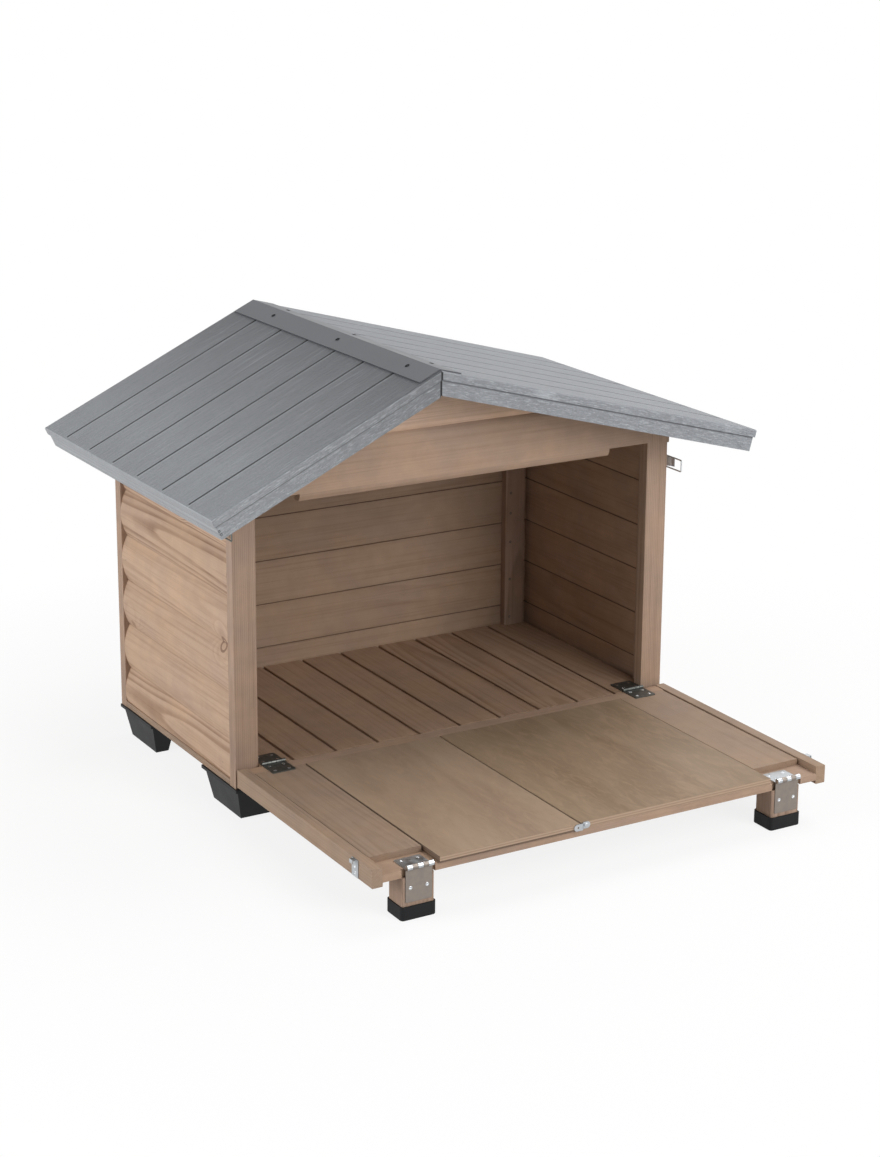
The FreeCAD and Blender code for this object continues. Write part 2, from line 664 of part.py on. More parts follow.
def hinge_rail():
    """Rebated rail at the hinge line; its ledge carries the boards."""
    strip = PANEL_BACK - HINGE_RAIL_STRIP
    ledge = strip - HINGE_RAIL_LEDGE
    outline = [
        vec(-TRIM_INNER, PANEL_BACK, RAIL_BOTTOM),
        vec(-TRIM_INNER, PANEL_BACK, BOARD_TOP),
        vec(-TRIM_INNER, strip, BOARD_TOP),
        vec(-TRIM_INNER, strip, BOARD_BOTTOM),
        vec(-TRIM_INNER, ledge, BOARD_BOTTOM),
        vec(-TRIM_INNER, ledge, RAIL_BOTTOM),
    ]
    return prism(outline, X_AXIS * (2 * TRIM_INNER))


def outer_rail():
    """Rail at the free edge, recessed behind each leg hinge."""
    rail = board(-TRIM_INNER, TRIM_INNER, OUTER_FACE, OUTER_FACE + OUTER_RAIL_DEPTH,
                 RAIL_BOTTOM, BOARD_BOTTOM, X_AXIS)
    half = LEG_WIDTH / 2 + LEG_RECESS_CLEARANCE
    for side in (-1, 1):
        centre = side * LEG_CENTRE
        recess = box(centre - half, centre + half, OUTER_FACE - LEG_RECESS_DEPTH,
                     OUTER_FACE + LEG_RECESS_DEPTH, 0, BOARD_TOP)
        rail = rail.cut(recess)
    return rail


def panel_board(x0, x1, outer_end):
    """A terrace board from the rebate of the hinge rail to its outer end."""
    inner_end = PANEL_BACK - HINGE_RAIL_STRIP - PIECE_GAP
    return board(x0, x1, outer_end, inner_end, BOARD_BOTTOM, BOARD_TOP, Y_AXIS)


def stile_board():
    """Left stile board, short of the outer face so that the leg hinge finds room."""
    return panel_board(-TRIM_INNER + TRIM_SEAM, -SEAM_STILE - TIGHT_SEAM / 2,
                       OUTER_FACE + STILE_END_SETBACK)


def door_board():
    """Loose board that closes the doorway."""
    return panel_board(-SEAM_STILE + SEAM_GAP - TIGHT_SEAM / 2, SEAM_DOOR - SEAM_GAP / 2,
                       OUTER_FACE - DOOR_OVERHANG)


def swivel_pivot():
    """Where the swivel plate's screw enters the front edge of the centre board."""
    return vec(SEAM_DOOR + SWIVEL_FROM_SEAM, OUTER_FACE, BOARD_TOP - PANEL_BOARD / 2)


def swivel_shank():
    """Shank of the pivot screw, from the head back into the board."""
    length = SWIVEL_SCREW_DEPTH + SWIVEL_THICKNESS
    return Part.makeCylinder(SWIVEL_SCREW_RADIUS, length,
                             swivel_pivot() + Y_AXIS * SWIVEL_SCREW_DEPTH, -Y_AXIS)


def centre_board():
    """Fixed board beside the doorway, bored for the pivot screw."""
    shape = panel_board(SEAM_DOOR + SEAM_GAP / 2, SEAM_STILE - TIGHT_SEAM / 2, OUTER_FACE)
    return shape.cut(swivel_shank())


def swivel_screw():
    """Pivot screw with a domed head, lying along -Y."""
    seat = swivel_pivot() - Y_AXIS * (SWIVEL_THICKNESS + PIN_CLEARANCE)
    head = Part.makeCylinder(SWIVEL_HEAD_RADIUS, SWIVEL_HEAD_HEIGHT, seat, -Y_AXIS)
    middle = seat.y - SWIVEL_HEAD_HEIGHT / 2
    rim = [edge for edge in head.Edges if edge.Closed and edge.CenterOfMass.y < middle]
    head = head.makeFillet(SWIVEL_HEAD_HEIGHT / 2, rim)
    neck = Part.makeCylinder(SWIVEL_SCREW_RADIUS, SWIVEL_THICKNESS, swivel_pivot(), -Y_AXIS)
    return head.fuse([neck, swivel_shank()]).removeSplitter()


def joggled_strip(pivot):
    """The plate seen from above: it lies on the centre board and steps over the door board's edge."""
    near = pivot.x + SWIVEL_HOLE_INSET
    far = near - SWIVEL_LENGTH
    step_near = pivot.x - SWIVEL_JOGGLE_START
    step_far = step_near - SWIVEL_JOGGLE_LENGTH
    low = pivot.y - PIN_CLEARANCE
    high = OUTER_FACE - DOOR_OVERHANG - PIN_CLEARANCE
    sheet = SWIVEL_THICKNESS - PIN_CLEARANCE
    bottom = pivot.z - SWIVEL_WIDTH / 2
    outline = [
        vec(near, low, bottom),
        vec(near, low - sheet, bottom),
        vec(step_near, low - sheet, bottom),
        vec(step_far, high - sheet, bottom),
        vec(far, high - sheet, bottom),
        vec(far, high, bottom),
        vec(step_far, high, bottom),
        vec(step_near, low, bottom),
    ]
    return prism(outline, Z_AXIS * SWIVEL_WIDTH)


def swivel_plate():
    """Joggled oblong plate with round ends, turning on the screw and holding the door board."""
    radius = SWIVEL_WIDTH / 2
    pivot = swivel_pivot()
    near = pivot.x + SWIVEL_HOLE_INSET - radius
    far = pivot.x + SWIVEL_HOLE_INSET - SWIVEL_LENGTH + radius
    oblong = box(far, near, pivot.y - FAR, pivot.y + FAR, pivot.z - radius, pivot.z + radius)
    for x in (near, far):
        oblong = oblong.fuse(pin(vec(x, pivot.y, pivot.z), Y_AXIS, radius, 2 * FAR))
    plate = joggled_strip(pivot).common(oblong.removeSplitter())
    second_hole = pivot.x + 2 * SWIVEL_HOLE_INSET - SWIVEL_LENGTH
    bores = ((pivot.x, SWIVEL_SCREW_RADIUS + PIN_CLEARANCE), (second_hole, SWIVEL_HOLE_RADIUS))
    for x, bore in bores:
        plate = plate.cut(pin(vec(x, pivot.y, pivot.z), Y_AXIS, bore, FAR))
    return plate


# ---------------------------------------------------------------- butt hinges
def knuckle_spans(width, own):
    """Start and end of each knuckle along the pin; own is 0 for the odd and 1 for the even ones."""
    pitch = width / KNUCKLES
    spans = []
    for index in range(KNUCKLES):
        if index % 2 == own:
            low = -width / 2 + index * pitch
            high = low + pitch
            if index > 0:
                low += KNUCKLE_GAP / 2
            if index < KNUCKLES - 1:
                high -= KNUCKLE_GAP / 2
            spans.append((low, high))
    return spans


def hinge_leaf(width, length, own, holes, knuckle, pin_radius):
    """A leaf on the pin axis along X: it extends along +Y, its underside tangent to the knuckles."""
    low = -knuckle
    leaf = box(-width / 2, width / 2, 0, length, low, low + LEAF_THICKNESS)
    corners = []
    for edge in leaf.Edges:
        upright = abs(edge.Curve.Direction.z) > PARALLEL
        if upright and edge.CenterOfMass.y > length / 2:
            corners.append(edge)
    leaf = leaf.makeFillet(LEAF_CORNER_RADIUS, corners)
    room = knuckle + KNUCKLE_GAP
    for start, end in knuckle_spans(width, 1 - own):
        grow = KNUCKLE_GAP
        leaf = leaf.cut(box(start - grow, end + grow, -room, room, -room, room))
    for start, end in knuckle_spans(width, own):
        leaf = leaf.fuse(Part.makeCylinder(knuckle, end - start, vec(start, 0, 0), X_AXIS))
    bore = pin_radius + PIN_CLEARANCE
    leaf = leaf.cut(pin(ORIGIN, X_AXIS, bore, 2 * width)).removeSplitter()
    for x, y in holes:
        leaf = leaf.cut(pin(vec(x, y, low), Z_AXIS, SCREW_HOLE_RADIUS, 4 * LEAF_THICKNESS))
    return leaf


def corner_holes(width, length, knuckle):
    """Four screw holes, one in each corner of the flat part of a leaf."""
    x = width / 2 - SCREW_HOLE_EDGE
    near = knuckle + SCREW_HOLE_EDGE
    far = length - SCREW_HOLE_EDGE
    return [(-x, near), (x, near), (-x, far), (x, far)]


def placed(shapes, x, y, z):
    """Move pieces to a hinge axis."""
    for shape in shapes:
        shape.translate(vec(x, y, z))
    return shapes


def house_leaf(own):
    """One leaf of a house hinge, its pin axis at the origin."""
    holes = corner_holes(HOUSE_HINGE_WIDTH, LEAF_LENGTH, KNUCKLE_RADIUS)
    return hinge_leaf(HOUSE_HINGE_WIDTH, LEAF_LENGTH, own, holes, KNUCKLE_RADIUS, HINGE_PIN_RADIUS)


def house_hinge():
    """Left house hinge, the leaf on the floor with its pin."""
    hinge_pin = pin(ORIGIN, X_AXIS, HINGE_PIN_RADIUS, HOUSE_HINGE_WIDTH)
    return placed([house_leaf(0), hinge_pin], -HOUSE_HINGE_CENTRE, -HINGE_LINE, HOUSE_AXIS_Z)


def panel_hinge():
    """Left house hinge, the leaf on the terrace."""
    leaf = house_leaf(1).mirror(ORIGIN, Y_AXIS)
    return placed([leaf], -HOUSE_HINGE_CENTRE, -HINGE_LINE, HOUSE_AXIS_Z)


def rail_hinge():
    """Left leg hinge, the leaf on the outer rail with its pin."""
    holes = corner_holes(LEG_HINGE_WIDTH, LEAF_LENGTH, LEG_KNUCKLE_RADIUS)
    leaf = hinge_leaf(LEG_HINGE_WIDTH, LEAF_LENGTH, 0, holes, LEG_KNUCKLE_RADIUS, LEG_PIN_RADIUS)
    hinge_pin = pin(ORIGIN, X_AXIS, LEG_PIN_RADIUS, LEG_HINGE_WIDTH)
    return placed([leaf, hinge_pin], -LEG_CENTRE, LEG_AXIS_Y, LEG_AXIS_Z)


def leg_hinge():
    """Left leg hinge, the leaf that runs down the front of the leg."""
    x = LEG_HINGE_WIDTH / 2 - SCREW_HOLE_EDGE
    holes = [(-x, LEG_SCREW_DROP), (x, LEG_SCREW_DROP)]
    leaf = hinge_leaf(LEG_HINGE_WIDTH, LEG_LEAF_LENGTH, 1, holes, LEG_KNUCKLE_RADIUS, LEG_PIN_RADIUS)
    leaf = leaf.mirror(ORIGIN, Y_AXIS)
    leaf.rotate(ORIGIN, X_AXIS, RIGHT_ANGLE)
    return placed([leaf], -LEG_CENTRE, LEG_AXIS_Y, LEG_AXIS_Z)


# ---------------------------------------------------------------- legs
def leg_block():
    """Left leg, a short length of timber."""
    half = LEG_WIDTH / 2
    block = box(-LEG_CENTRE - half, -LEG_CENTRE + half, OUTER_FACE, OUTER_FACE + LEG_DEPTH,
                -GROUND_CLEARANCE + LEG_CAP_FLOOR, LEG_TOP)
    return planed(block, LEG_EDGE_RADIUS, Z_AXIS)


def leg_cap():
    """Rubber cap over the end of the left leg."""
    half = LEG_WIDTH / 2 + LEG_CAP_WALL
    low = -GROUND_CLEARANCE
    cap = box(-LEG_CENTRE - half, -LEG_CENTRE + half, OUTER_FACE - LEG_CAP_WALL,
              OUTER_FACE + LEG_DEPTH + LEG_CAP_WALL, low, low + LEG_CAP_HEIGHT)
    cap = planed(cap, LEG_EDGE_RADIUS + LEG_CAP_WALL, Z_AXIS)
    base = [edge for edge in cap.Edges if edge.CenterOfMass.z < low + EDGE_RADIUS / 2]
    cap = cap.makeFillet(EDGE_RADIUS, base)
    return cap.cut(leg_block())


# ---------------------------------------------------------------- catches and toggle latches
def catch():
    """Left catch on the trim: a plate whose top is folded out and down into a hook."""
    face = -HALF_TERRACE
    plate = box(face - SHEET, face, CATCH_Y - CATCH_WIDTH / 2, CATCH_Y + CATCH_WIDTH / 2,
                CATCH_TOP - CATCH_HEIGHT, CATCH_TOP)
    half = CATCH_HOOK_WIDTH / 2
    tip = face - SHEET - CATCH_HOOK_REACH
    ledge = box(tip, face - SHEET, CATCH_Y - half, CATCH_Y + half, CATCH_TOP - SHEET, CATCH_TOP)
    lip = box(tip, tip + SHEET, CATCH_Y - half, CATCH_Y + half, CATCH_TOP - CATCH_HOOK_LIP, CATCH_TOP)
    hook = ledge.fuse(lip).removeSplitter()
    bend = [edge for edge in hook.Edges
            if abs(edge.Curve.Direction.y) > PARALLEL and edge.CenterOfMass.x < tip + SHEET / 2
            and edge.CenterOfMass.z > CATCH_TOP - SHEET / 2]
    hook = hook.makeFillet(SHEET_BEND_RADIUS, bend)
    shape = plate.fuse(hook).removeSplitter()
    for drop in CATCH_SCREW_DROPS:
        centre = vec(face, CATCH_Y, CATCH_TOP - drop)
        shape = shape.cut(pin(centre, X_AXIS, SCREW_HOLE_RADIUS, 4 * SHEET))
    return shape


def lever_axis():
    """Lever pin of the right latch."""
    return vec(HALF_BODY + LATCH_PIN_STANDOFF, LATCH_PIN_Y, LATCH_HEIGHT)


def bail_offset():
    """Lever pin to bail pin while the latch is open, as the part is drawn."""
    angle = math.radians(LEVER_OPEN_ANGLE + LEVER_OVER_CENTRE)
    return vec(LEVER_THROW * math.sin(angle), -LEVER_THROW * math.cos(angle), 0)


def bail_length():
    """The bail reaches the hook of the closed front wall once the lever is closed."""
    over = math.radians(LEVER_OVER_CENTRE)
    closed_pin_y = LATCH_PIN_Y + LEVER_THROW * math.cos(over)
    hook_inner = -HINGE_LINE - (HOUSE_AXIS_Z - (CATCH_TOP - SHEET))
    return closed_pin_y - (hook_inner - WIRE_RADIUS - LUG_CLEARANCE)


def ear_outline(z):
    """Outline of an ear: a round eye that leans back to its foot on the base plate."""
    foot_x = -LATCH_PIN_STANDOFF + SHEET
    return [
        vec(foot_x, LATCH_EAR_FOOT, z),
        vec(foot_x, LATCH_EAR_RADIUS / 2, z),
        vec(0, -LATCH_EAR_NOSE, z),
        vec(0, LATCH_EAR_RADIUS, z),
    ]


def latch_base():
    """Right latch base: plate on the crown of a log, two ears and the lever pin."""
    axis = lever_axis()
    ears_half = LATCH_EAR_INSIDE + SHEET
    front = -2 * LATCH_EAR_RADIUS
    half_height = LATCH_BASE_HEIGHT / 2
    plate = box(-LATCH_PIN_STANDOFF, -LATCH_PIN_STANDOFF + SHEET, front, front + LATCH_BASE_LENGTH,
                -half_height, half_height)
    for z in (-ears_half, LATCH_EAR_INSIDE):
        ear = prism(ear_outline(z), Z_AXIS * SHEET)
        eye = Part.makeCylinder(LATCH_EAR_RADIUS, SHEET, vec(0, 0, z), Z_AXIS)
        plate = plate.fuse([ear, eye])
    plate = plate.cut(pin(ORIGIN, Z_AXIS, LATCH_PIN_RADIUS, 4 * ears_half)).removeSplitter()
    for y in LATCH_SCREW_LINES:
        hole = pin(vec(-LATCH_PIN_STANDOFF, y, 0), X_AXIS, SCREW_HOLE_RADIUS, 4 * SHEET)
        plate = plate.cut(hole)
    lever_pin = pin(ORIGIN, Z_AXIS, LATCH_PIN_RADIUS, 2 * (ears_half + LUG_CLEARANCE + SHEET))
    return placed([plate, lever_pin], axis.x, axis.y, axis.z)


def lever_profile(z):
    """Side view of the lever web: straight, with a finger tab bent outward at the tip."""
    tab = math.radians(LEVER_TIP_ANGLE)
    web = LEVER_WEB_OFFSET
    start = LUG_CLEARANCE * 2
    bend = LEVER_LENGTH - LEVER_TIP
    rise = LEVER_TIP * math.tan(tab)
    return [
        vec(start, web, z),
        vec(bend, web, z),
        vec(LEVER_LENGTH, web + rise, z),
        vec(LEVER_LENGTH, web + rise + SHEET, z),
        vec(bend, web + SHEET, z),
        vec(start, web + SHEET, z),
    ]


def latch_lever():
    """Right lever: web with two lugs, bored for the lever pin and the bail; drawn open."""
    lug_inside = LATCH_EAR_INSIDE + SHEET + LUG_CLEARANCE
    half = lug_inside + SHEET
    web = prism(lever_profile(-half), Z_AXIS * (2 * half))
    eye = LATCH_PIN_RADIUS + SHEET
    over = math.radians(LEVER_OVER_CENTRE)
    bail_x = LEVER_THROW * math.cos(over)
    bail_y = -LEVER_THROW * math.sin(over)
    for z in (-half, lug_inside):
        lug = box(0, bail_x, -eye, LEVER_WEB_OFFSET + SHEET / 2, z, z + SHEET)
        lug = lug.cut(box(-eye, LUG_CLEARANCE * 2, eye, FAR, -FAR, FAR))
        front = Part.makeCylinder(eye, SHEET, vec(0, 0, z), Z_AXIS)
        rear = Part.makeCylinder(eye, SHEET, vec(bail_x, bail_y, z), Z_AXIS)
        web = web.fuse([lug, front, rear])
    web = web.cut(pin(ORIGIN, Z_AXIS, LATCH_PIN_RADIUS + PIN_CLEARANCE, 4 * half))
    web = web.cut(pin(vec(bail_x, bail_y, 0), Z_AXIS, WIRE_RADIUS + PIN_CLEARANCE, 4 * half))
    web = web.removeSplitter()
    web = web.mirror(ORIGIN, Y_AXIS)
    web.rotate(ORIGIN, Z_AXIS, -RIGHT_ANGLE + LEVER_OPEN_ANGLE)
    axis = lever_axis()
    return placed([web], axis.x, axis.y, axis.z)


def latch_bail():
    """Right bail: a wire loop whose ends turn inward through the lever lugs."""
    lug_outside = LATCH_EAR_INSIDE + 2 * SHEET + LUG_CLEARANCE
    arm = lug_outside + LUG_CLEARANCE + WIRE_RADIUS
    bend = 2 * WIRE_RADIUS
    turned_in = arm - (LATCH_EAR_INSIDE + SHEET + LUG_CLEARANCE)
    reach = bail_length()
    wire = []
    for side in (-1, 1):
        end = side * arm
        wire.append(Part.makeCylinder(WIRE_RADIUS, turned_in, vec(0, 0, end), Z_AXIS * -side))
        wire.append(Part.makeSphere(WIRE_RADIUS, vec(0, 0, end)))
        wire.append(Part.makeCylinder(WIRE_RADIUS, reach - bend, vec(0, 0, end), -Y_AXIS))
        corner = Part.makeTorus(bend, WIRE_RADIUS, vec(0, -reach + bend, end - side * bend), X_AXIS)
        quarter = box(-FAR, FAR, -reach - bend, -reach + bend, end - bend, end + bend)
        wire.append(corner.common(quarter))
    wire.append(Part.makeCylinder(WIRE_RADIUS, 2 * (arm - bend), vec(0, -reach, -arm + bend), Z_AXIS))
    loop = wire[0].fuse(wire[1:]).removeSplitter()
    seat = lever_axis() + bail_offset()
    return placed([loop], seat.x, seat.y, seat.z)


# ---------------------------------------------------------------- the assembly
def make_house():
    for name, slope in (("left", LEFT), ("right", RIGHT)):
        save(name + "_wall_logs", side_wall_logs(slope))
        save("front_post_" + name, post(slope, 0))
        save("rear_post_" + name, post(slope, WALL_BACK))
        save("front_batten_" + name, front_batten(slope))
        save("rear_batten_" + name, rear_batten(slope))
        save("roof_panel_" + name, roof_panel(slope))
        save("eave_cleat_" + name, eave_cleat(slope))
    save("back_wall_logs", back_wall_logs())
    save_pair("base_rail", [base_rail()])
    save("header_board", header_board())
    save("front_gable_board", front_gable_board())
    save("ridge_cap", ridge_cap())
    save("floor_bearer_front", floor_bearer(-FLOOR_NOSE))
    save("floor_bearer_middle", floor_bearer((BODY_DEPTH - BEARER_DEPTH) / 2))
    save("floor_bearer_back", floor_bearer(BACK_WALL_INNER - BEARER_DEPTH))
    save("floor_slats", floor_slats())
    foot = corner_foot()
    rear_foot = foot.mirror(vec(0, (BODY_DEPTH - REAR_FOOT_INSET - FLOOR_NOSE) / 2, 0), Y_AXIS)
    save_pair("foot_front", [foot])
    save_pair("foot_rear", [rear_foot])
    save_pair("house_hinge", house_hinge())


def make_terrace():
    save_pair("panel_trim", [panel_trim()])
    save("hinge_rail", hinge_rail())
    save("outer_rail", outer_rail())
    save_pair("stile_board", [stile_board()])
    save("door_board", door_board())
    save("centre_board", centre_board())
    save_pair("panel_hinge", panel_hinge())
    save_pair("rail_hinge", rail_hinge())
    save_pair("catch", [catch()])
    save("swivel_plate", swivel_plate())
    save("swivel_screw", swivel_screw())


def make_legs():
    save_pair("leg_block", [leg_block()])
    save_pair("leg_cap", [leg_cap()])
    save_pair("leg_hinge", leg_hinge())


def make_latches():
    for name, pieces in (("latch_base", latch_base()), ("latch_lever", latch_lever()),
                         ("latch_bail", latch_bail())):
        save(name + "_right", pieces)
        save(name + "_left", [mirror_x(piece) for piece in pieces])


os.makedirs("parts", exist_ok=True)
make_house()
make_terrace()
make_legs()
make_latches()
print("origin in the house frame", ORIGIN_X, ORIGIN_Y, -GROUND_CLEARANCE)
print("house hinge axis height", HOUSE_AXIS_Z, "leg hinge axis", LEG_AXIS_Y, LEG_AXIS_Z)
print("lever pin", lever_axis(), "bail offset", bail_offset(), "bail length", bail_length())
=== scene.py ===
# %% [markdown]
# # A wooden dog house with a fold-down terrace
#
# This lesson dresses a finished CAD model of a dog house: half-log walls, a grey moulded roof and
# a front wall that lies in front of the house as a terrace. The CAD model is the frame. Its
# shapes stay as they are, and Blender gives them timber, plastic, rubber and zinc, and adds the
# small screws that a real one is held together with.

# %% Load the frame
import bpy
import bmesh
import math
import random
from mathutils import Matrix, Vector
from types import SimpleNamespace


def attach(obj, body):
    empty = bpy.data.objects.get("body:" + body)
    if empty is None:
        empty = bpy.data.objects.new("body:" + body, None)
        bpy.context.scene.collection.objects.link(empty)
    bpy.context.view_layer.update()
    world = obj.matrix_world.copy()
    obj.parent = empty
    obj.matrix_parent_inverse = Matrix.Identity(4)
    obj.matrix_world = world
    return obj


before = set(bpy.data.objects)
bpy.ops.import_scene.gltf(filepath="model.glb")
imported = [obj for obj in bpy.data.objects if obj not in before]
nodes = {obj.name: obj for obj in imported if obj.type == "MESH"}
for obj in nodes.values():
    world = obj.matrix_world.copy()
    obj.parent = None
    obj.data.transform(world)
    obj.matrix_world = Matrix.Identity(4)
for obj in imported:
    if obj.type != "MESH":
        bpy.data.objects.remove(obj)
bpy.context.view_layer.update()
random.seed(7)

# %% [markdown]
# The CAD file was drawn with x = 0 in the middle of the body, y = 0 at the front of the corner
# posts and z = 0 under the walls, in millimetres. A maker thinks in those numbers, so one helper
# turns them into the frame's metres, and every added piece below is placed with it.

# %% One helper from house millimetres to frame metres
HOUSE_ORIGIN = Vector((8.2, 54.5, -67.0))     # the frame's origin, seen from the house


def at(x, y, z):
    """A point of the house in millimetres, as a point of the frame in metres."""
    return (Vector((x, y, z)) - HOUSE_ORIGIN) / 1000


print("front left post stands at", tuple(round(v, 4) for v in at(-500, 0, 0)))

# %% [markdown]
# The photograph is an upright picture taken from the left and a little above, with a long lens.
# A camera could be set by eye, but direction, distance and focal length trade against each other,
# and a picture only looks right if all three fit at once. So they were solved together from the
# edges of the house. The lens value belongs to the long side of the picture, which is its height
# here. The picture was cropped a little off the lens's middle, which is a small shift.

# %% The camera at the photograph's angle
PHOTO_WIDTH, PHOTO_HEIGHT = 880, 1157
FOCAL_PIXELS = 2448.7
MIDDLE_PIXEL = (400.0, 500.0)                 # where the lens looks, from the upper left corner
SENSOR = 36.0                                 # millimetres, along the long side
CAMERA_AZIMUTH = math.radians(-29.715)
CAMERA_ELEVATION = math.radians(15.563)
CAMERA_ROLL = math.radians(0.097)
CAMERA_PLACE = at(-2409.4, -3983.8, 1808.2)

camera_data = bpy.data.cameras.new("photo_camera")
camera_data.sensor_width = SENSOR
camera_data.lens = FOCAL_PIXELS * SENSOR / PHOTO_HEIGHT
camera_data.shift_x = (PHOTO_WIDTH / 2 - MIDDLE_PIXEL[0]) / PHOTO_HEIGHT
camera_data.shift_y = (MIDDLE_PIXEL[1] - PHOTO_HEIGHT / 2) / PHOTO_HEIGHT
camera = bpy.data.objects.new("photo_camera", camera_data)
bpy.context.scene.collection.objects.link(camera)
bpy.context.scene.camera = camera
back = Vector((
    math.sin(CAMERA_AZIMUTH) * math.cos(CAMERA_ELEVATION),
    -math.cos(CAMERA_AZIMUTH) * math.cos(CAMERA_ELEVATION),
    math.sin(CAMERA_ELEVATION),
))
camera.location = CAMERA_PLACE
camera.rotation_mode = "QUATERNION"
level = (-back).to_track_quat("-Z", "Y").to_matrix()
camera.rotation_quaternion = (Matrix.Rotation(CAMERA_ROLL, 3, back) @ level).to_quaternion()
print("lens in millimetres:", round(camera_data.lens, 1))

# %% [markdown]
# Colours are picked as sRGB hex values, the way paint is matched on a screen, and Blender's
# shaders want linear light. One function does that turn. Pattern sizes are thought of in
# millimetres, and a pattern node wants to know how often they fit in a metre. That is the second
# function, and with it every scale below starts from a size that a ruler could show.

# %% Helpers for colours and sizes


def paint(hex_value):
    """An sRGB hex colour as the linear RGBA that a shader socket takes."""
    channels = []
    for start in (1, 3, 5):
        value = int(hex_value[start:start + 2], 16) / 255
        channels.append(value / 12.92 if value <= 0.04045 else ((value + 0.055) / 1.055) ** 2.4)
    return (*channels, 1.0)


def per_metre(*sizes):
    """Pattern sizes in millimetres, as the scale along each axis."""
    return tuple(1000 / size for size in sizes)


print("a grain of 90 by 0.8 mm fits in a metre:", [round(scale) for scale in per_metre(90, 0.8)])

# %% [markdown]
# A material is a tree of nodes. One small function adds a node with its settings and its links,
# so that a material reads as a list of what it is made of. Where an input is given a whole node,
# that node's first enabled output is linked. Inputs have names or numbers: a MapRange turns the
# range from input 1 to input 2 into the range from 3 to 4, and stops at its ends.

# %% Helpers for nodes
LOW, HIGH = 0.3, 0.7                          # nearly all of a noise texture lies between these


def add(tree, kind, inputs=None, **settings):
    """Add a node: settings are its properties, inputs are values, nodes or outputs of nodes."""
    node = tree.nodes.new("ShaderNode" + kind)
    for name, value in settings.items():
        setattr(node, name, value)
    for key, value in (inputs or {}).items():
        if isinstance(value, bpy.types.Node):
            value = next(output for output in value.outputs if output.enabled)
        if isinstance(value, bpy.types.NodeSocket):
            tree.links.new(value, node.inputs[key])
        else:
            node.inputs[key].default_value = value
    return node


def start_material(name):
    """A new material and its empty node tree."""
    material = bpy.data.materials.new(name)
    material.use_nodes = True
    material.node_tree.nodes.clear()
    return material, material.node_tree


def coat(material, *names):
    """Put a material on CAD nodes, in every slot they have."""
    for name in names:
        for slot in nodes[name].material_slots:
            slot.material = material
    print(material.name, "->", len(names), "nodes")


# %% [markdown]
# The timber is Nordic pine, planed, with a thin taupe stain. No board is like the next, and the
# CAD model has seven logs or ten floor boards in one node. So the first step is to find, for any
# point, which board it lies in and where in that board. The place along the stack is divided by
# the pitch of the boards: the whole part is the board's number, the rest is the place across it.
# The number and the object's own random number are thrown like dice, and give each board three
# numbers of its own. The first also shifts the grain, so that no two boards are cut alike.

# %% Find the board and its luck
AXES = "XYZ"
LUCK_SPREAD = 91.0                            # keeps the dice of two objects apart
GRAIN_SHIFT = 9.0                             # metres of trunk that the boards are cut from


def find_board(tree, grain, stack, pitch, start):
    """Where a point lies in its board, and what chance gave that board."""
    place = add(tree, "TexCoord").outputs["Object"]
    axis = add(tree, "SeparateXYZ", {0: place}).outputs
    along, over = axis[AXES.index(grain)], axis[AXES.index(stack)]
    third = axis[3 - AXES.index(grain) - AXES.index(stack)]
    from_start = add(tree, "Math", {0: over, 1: start}, operation="SUBTRACT")
    turns = add(tree, "Math", {0: from_start, 1: pitch}, operation="DIVIDE")
    number = add(tree, "Math", {0: turns}, operation="FLOOR")
    which = add(tree, "ObjectInfo").outputs["Random"]
    spread = add(tree, "Math", {0: which, 1: LUCK_SPREAD}, operation="MULTIPLY")
    seed = add(tree, "CombineXYZ", {0: number, 1: spread})
    dice = add(tree, "TexWhiteNoise", {"Vector": seed}, noise_dimensions="3D").outputs["Color"]
    luck = add(tree, "SeparateColor", {0: dice}).outputs
    share = add(tree, "Math", {0: turns}, operation="FRACT")
    inside = add(tree, "Math", {0: share, 1: pitch}, operation="MULTIPLY")
    shifted = add(tree, "Math", {0: luck[0], 1: GRAIN_SHIFT, 2: along}, operation="MULTIPLY_ADD")
    board = add(tree, "CombineXYZ", {0: shifted, 1: inside, 2: third})
    return SimpleNamespace(place=place, board=board, shifted=shifted, inside=inside, third=third,
                           turns=turns, number=number, luck=luck, pitch=pitch)


print("boards lie up to", GRAIN_SHIFT, "m apart in the trunk")

# %% [markdown]
# A knot is the root of a branch. Knots could be placed one by one, but a wall has dozens. Voronoi
# cells 230 mm apart hold at most one knot each, and most cells are left clear. The rings swerve
# round a knot, because the knot adds to the distance from the heart. Only one knot has a place of
# its own: low on the left wall, beside the front post, where the eye rests. There the branch left
# a ring of dark bark.

# %% Knots
KNOT_SPACING = 0.23
KNOT_SHARE = 0.8                              # cells below this random number stay clear
KNOT_EDGE = (0.035, 0.055)                    # soft edge of a core, as a share of the spacing
KNOT_REACH = (0.02, 0.25)                     # where the rings swerve, as a share of it
SWERVE = 0.012                                # metres that the rings are pushed at a knot
CORE_TONE, BARK_TONE = 0.5, 0.7               # how much of the brown shows
WALL_KNOT = at(-500, 60, 277)
WALL_KNOT_REACH = (0.006, 0.05)
BARK_RADIUS, BARK_HALF = 0.015, 0.002


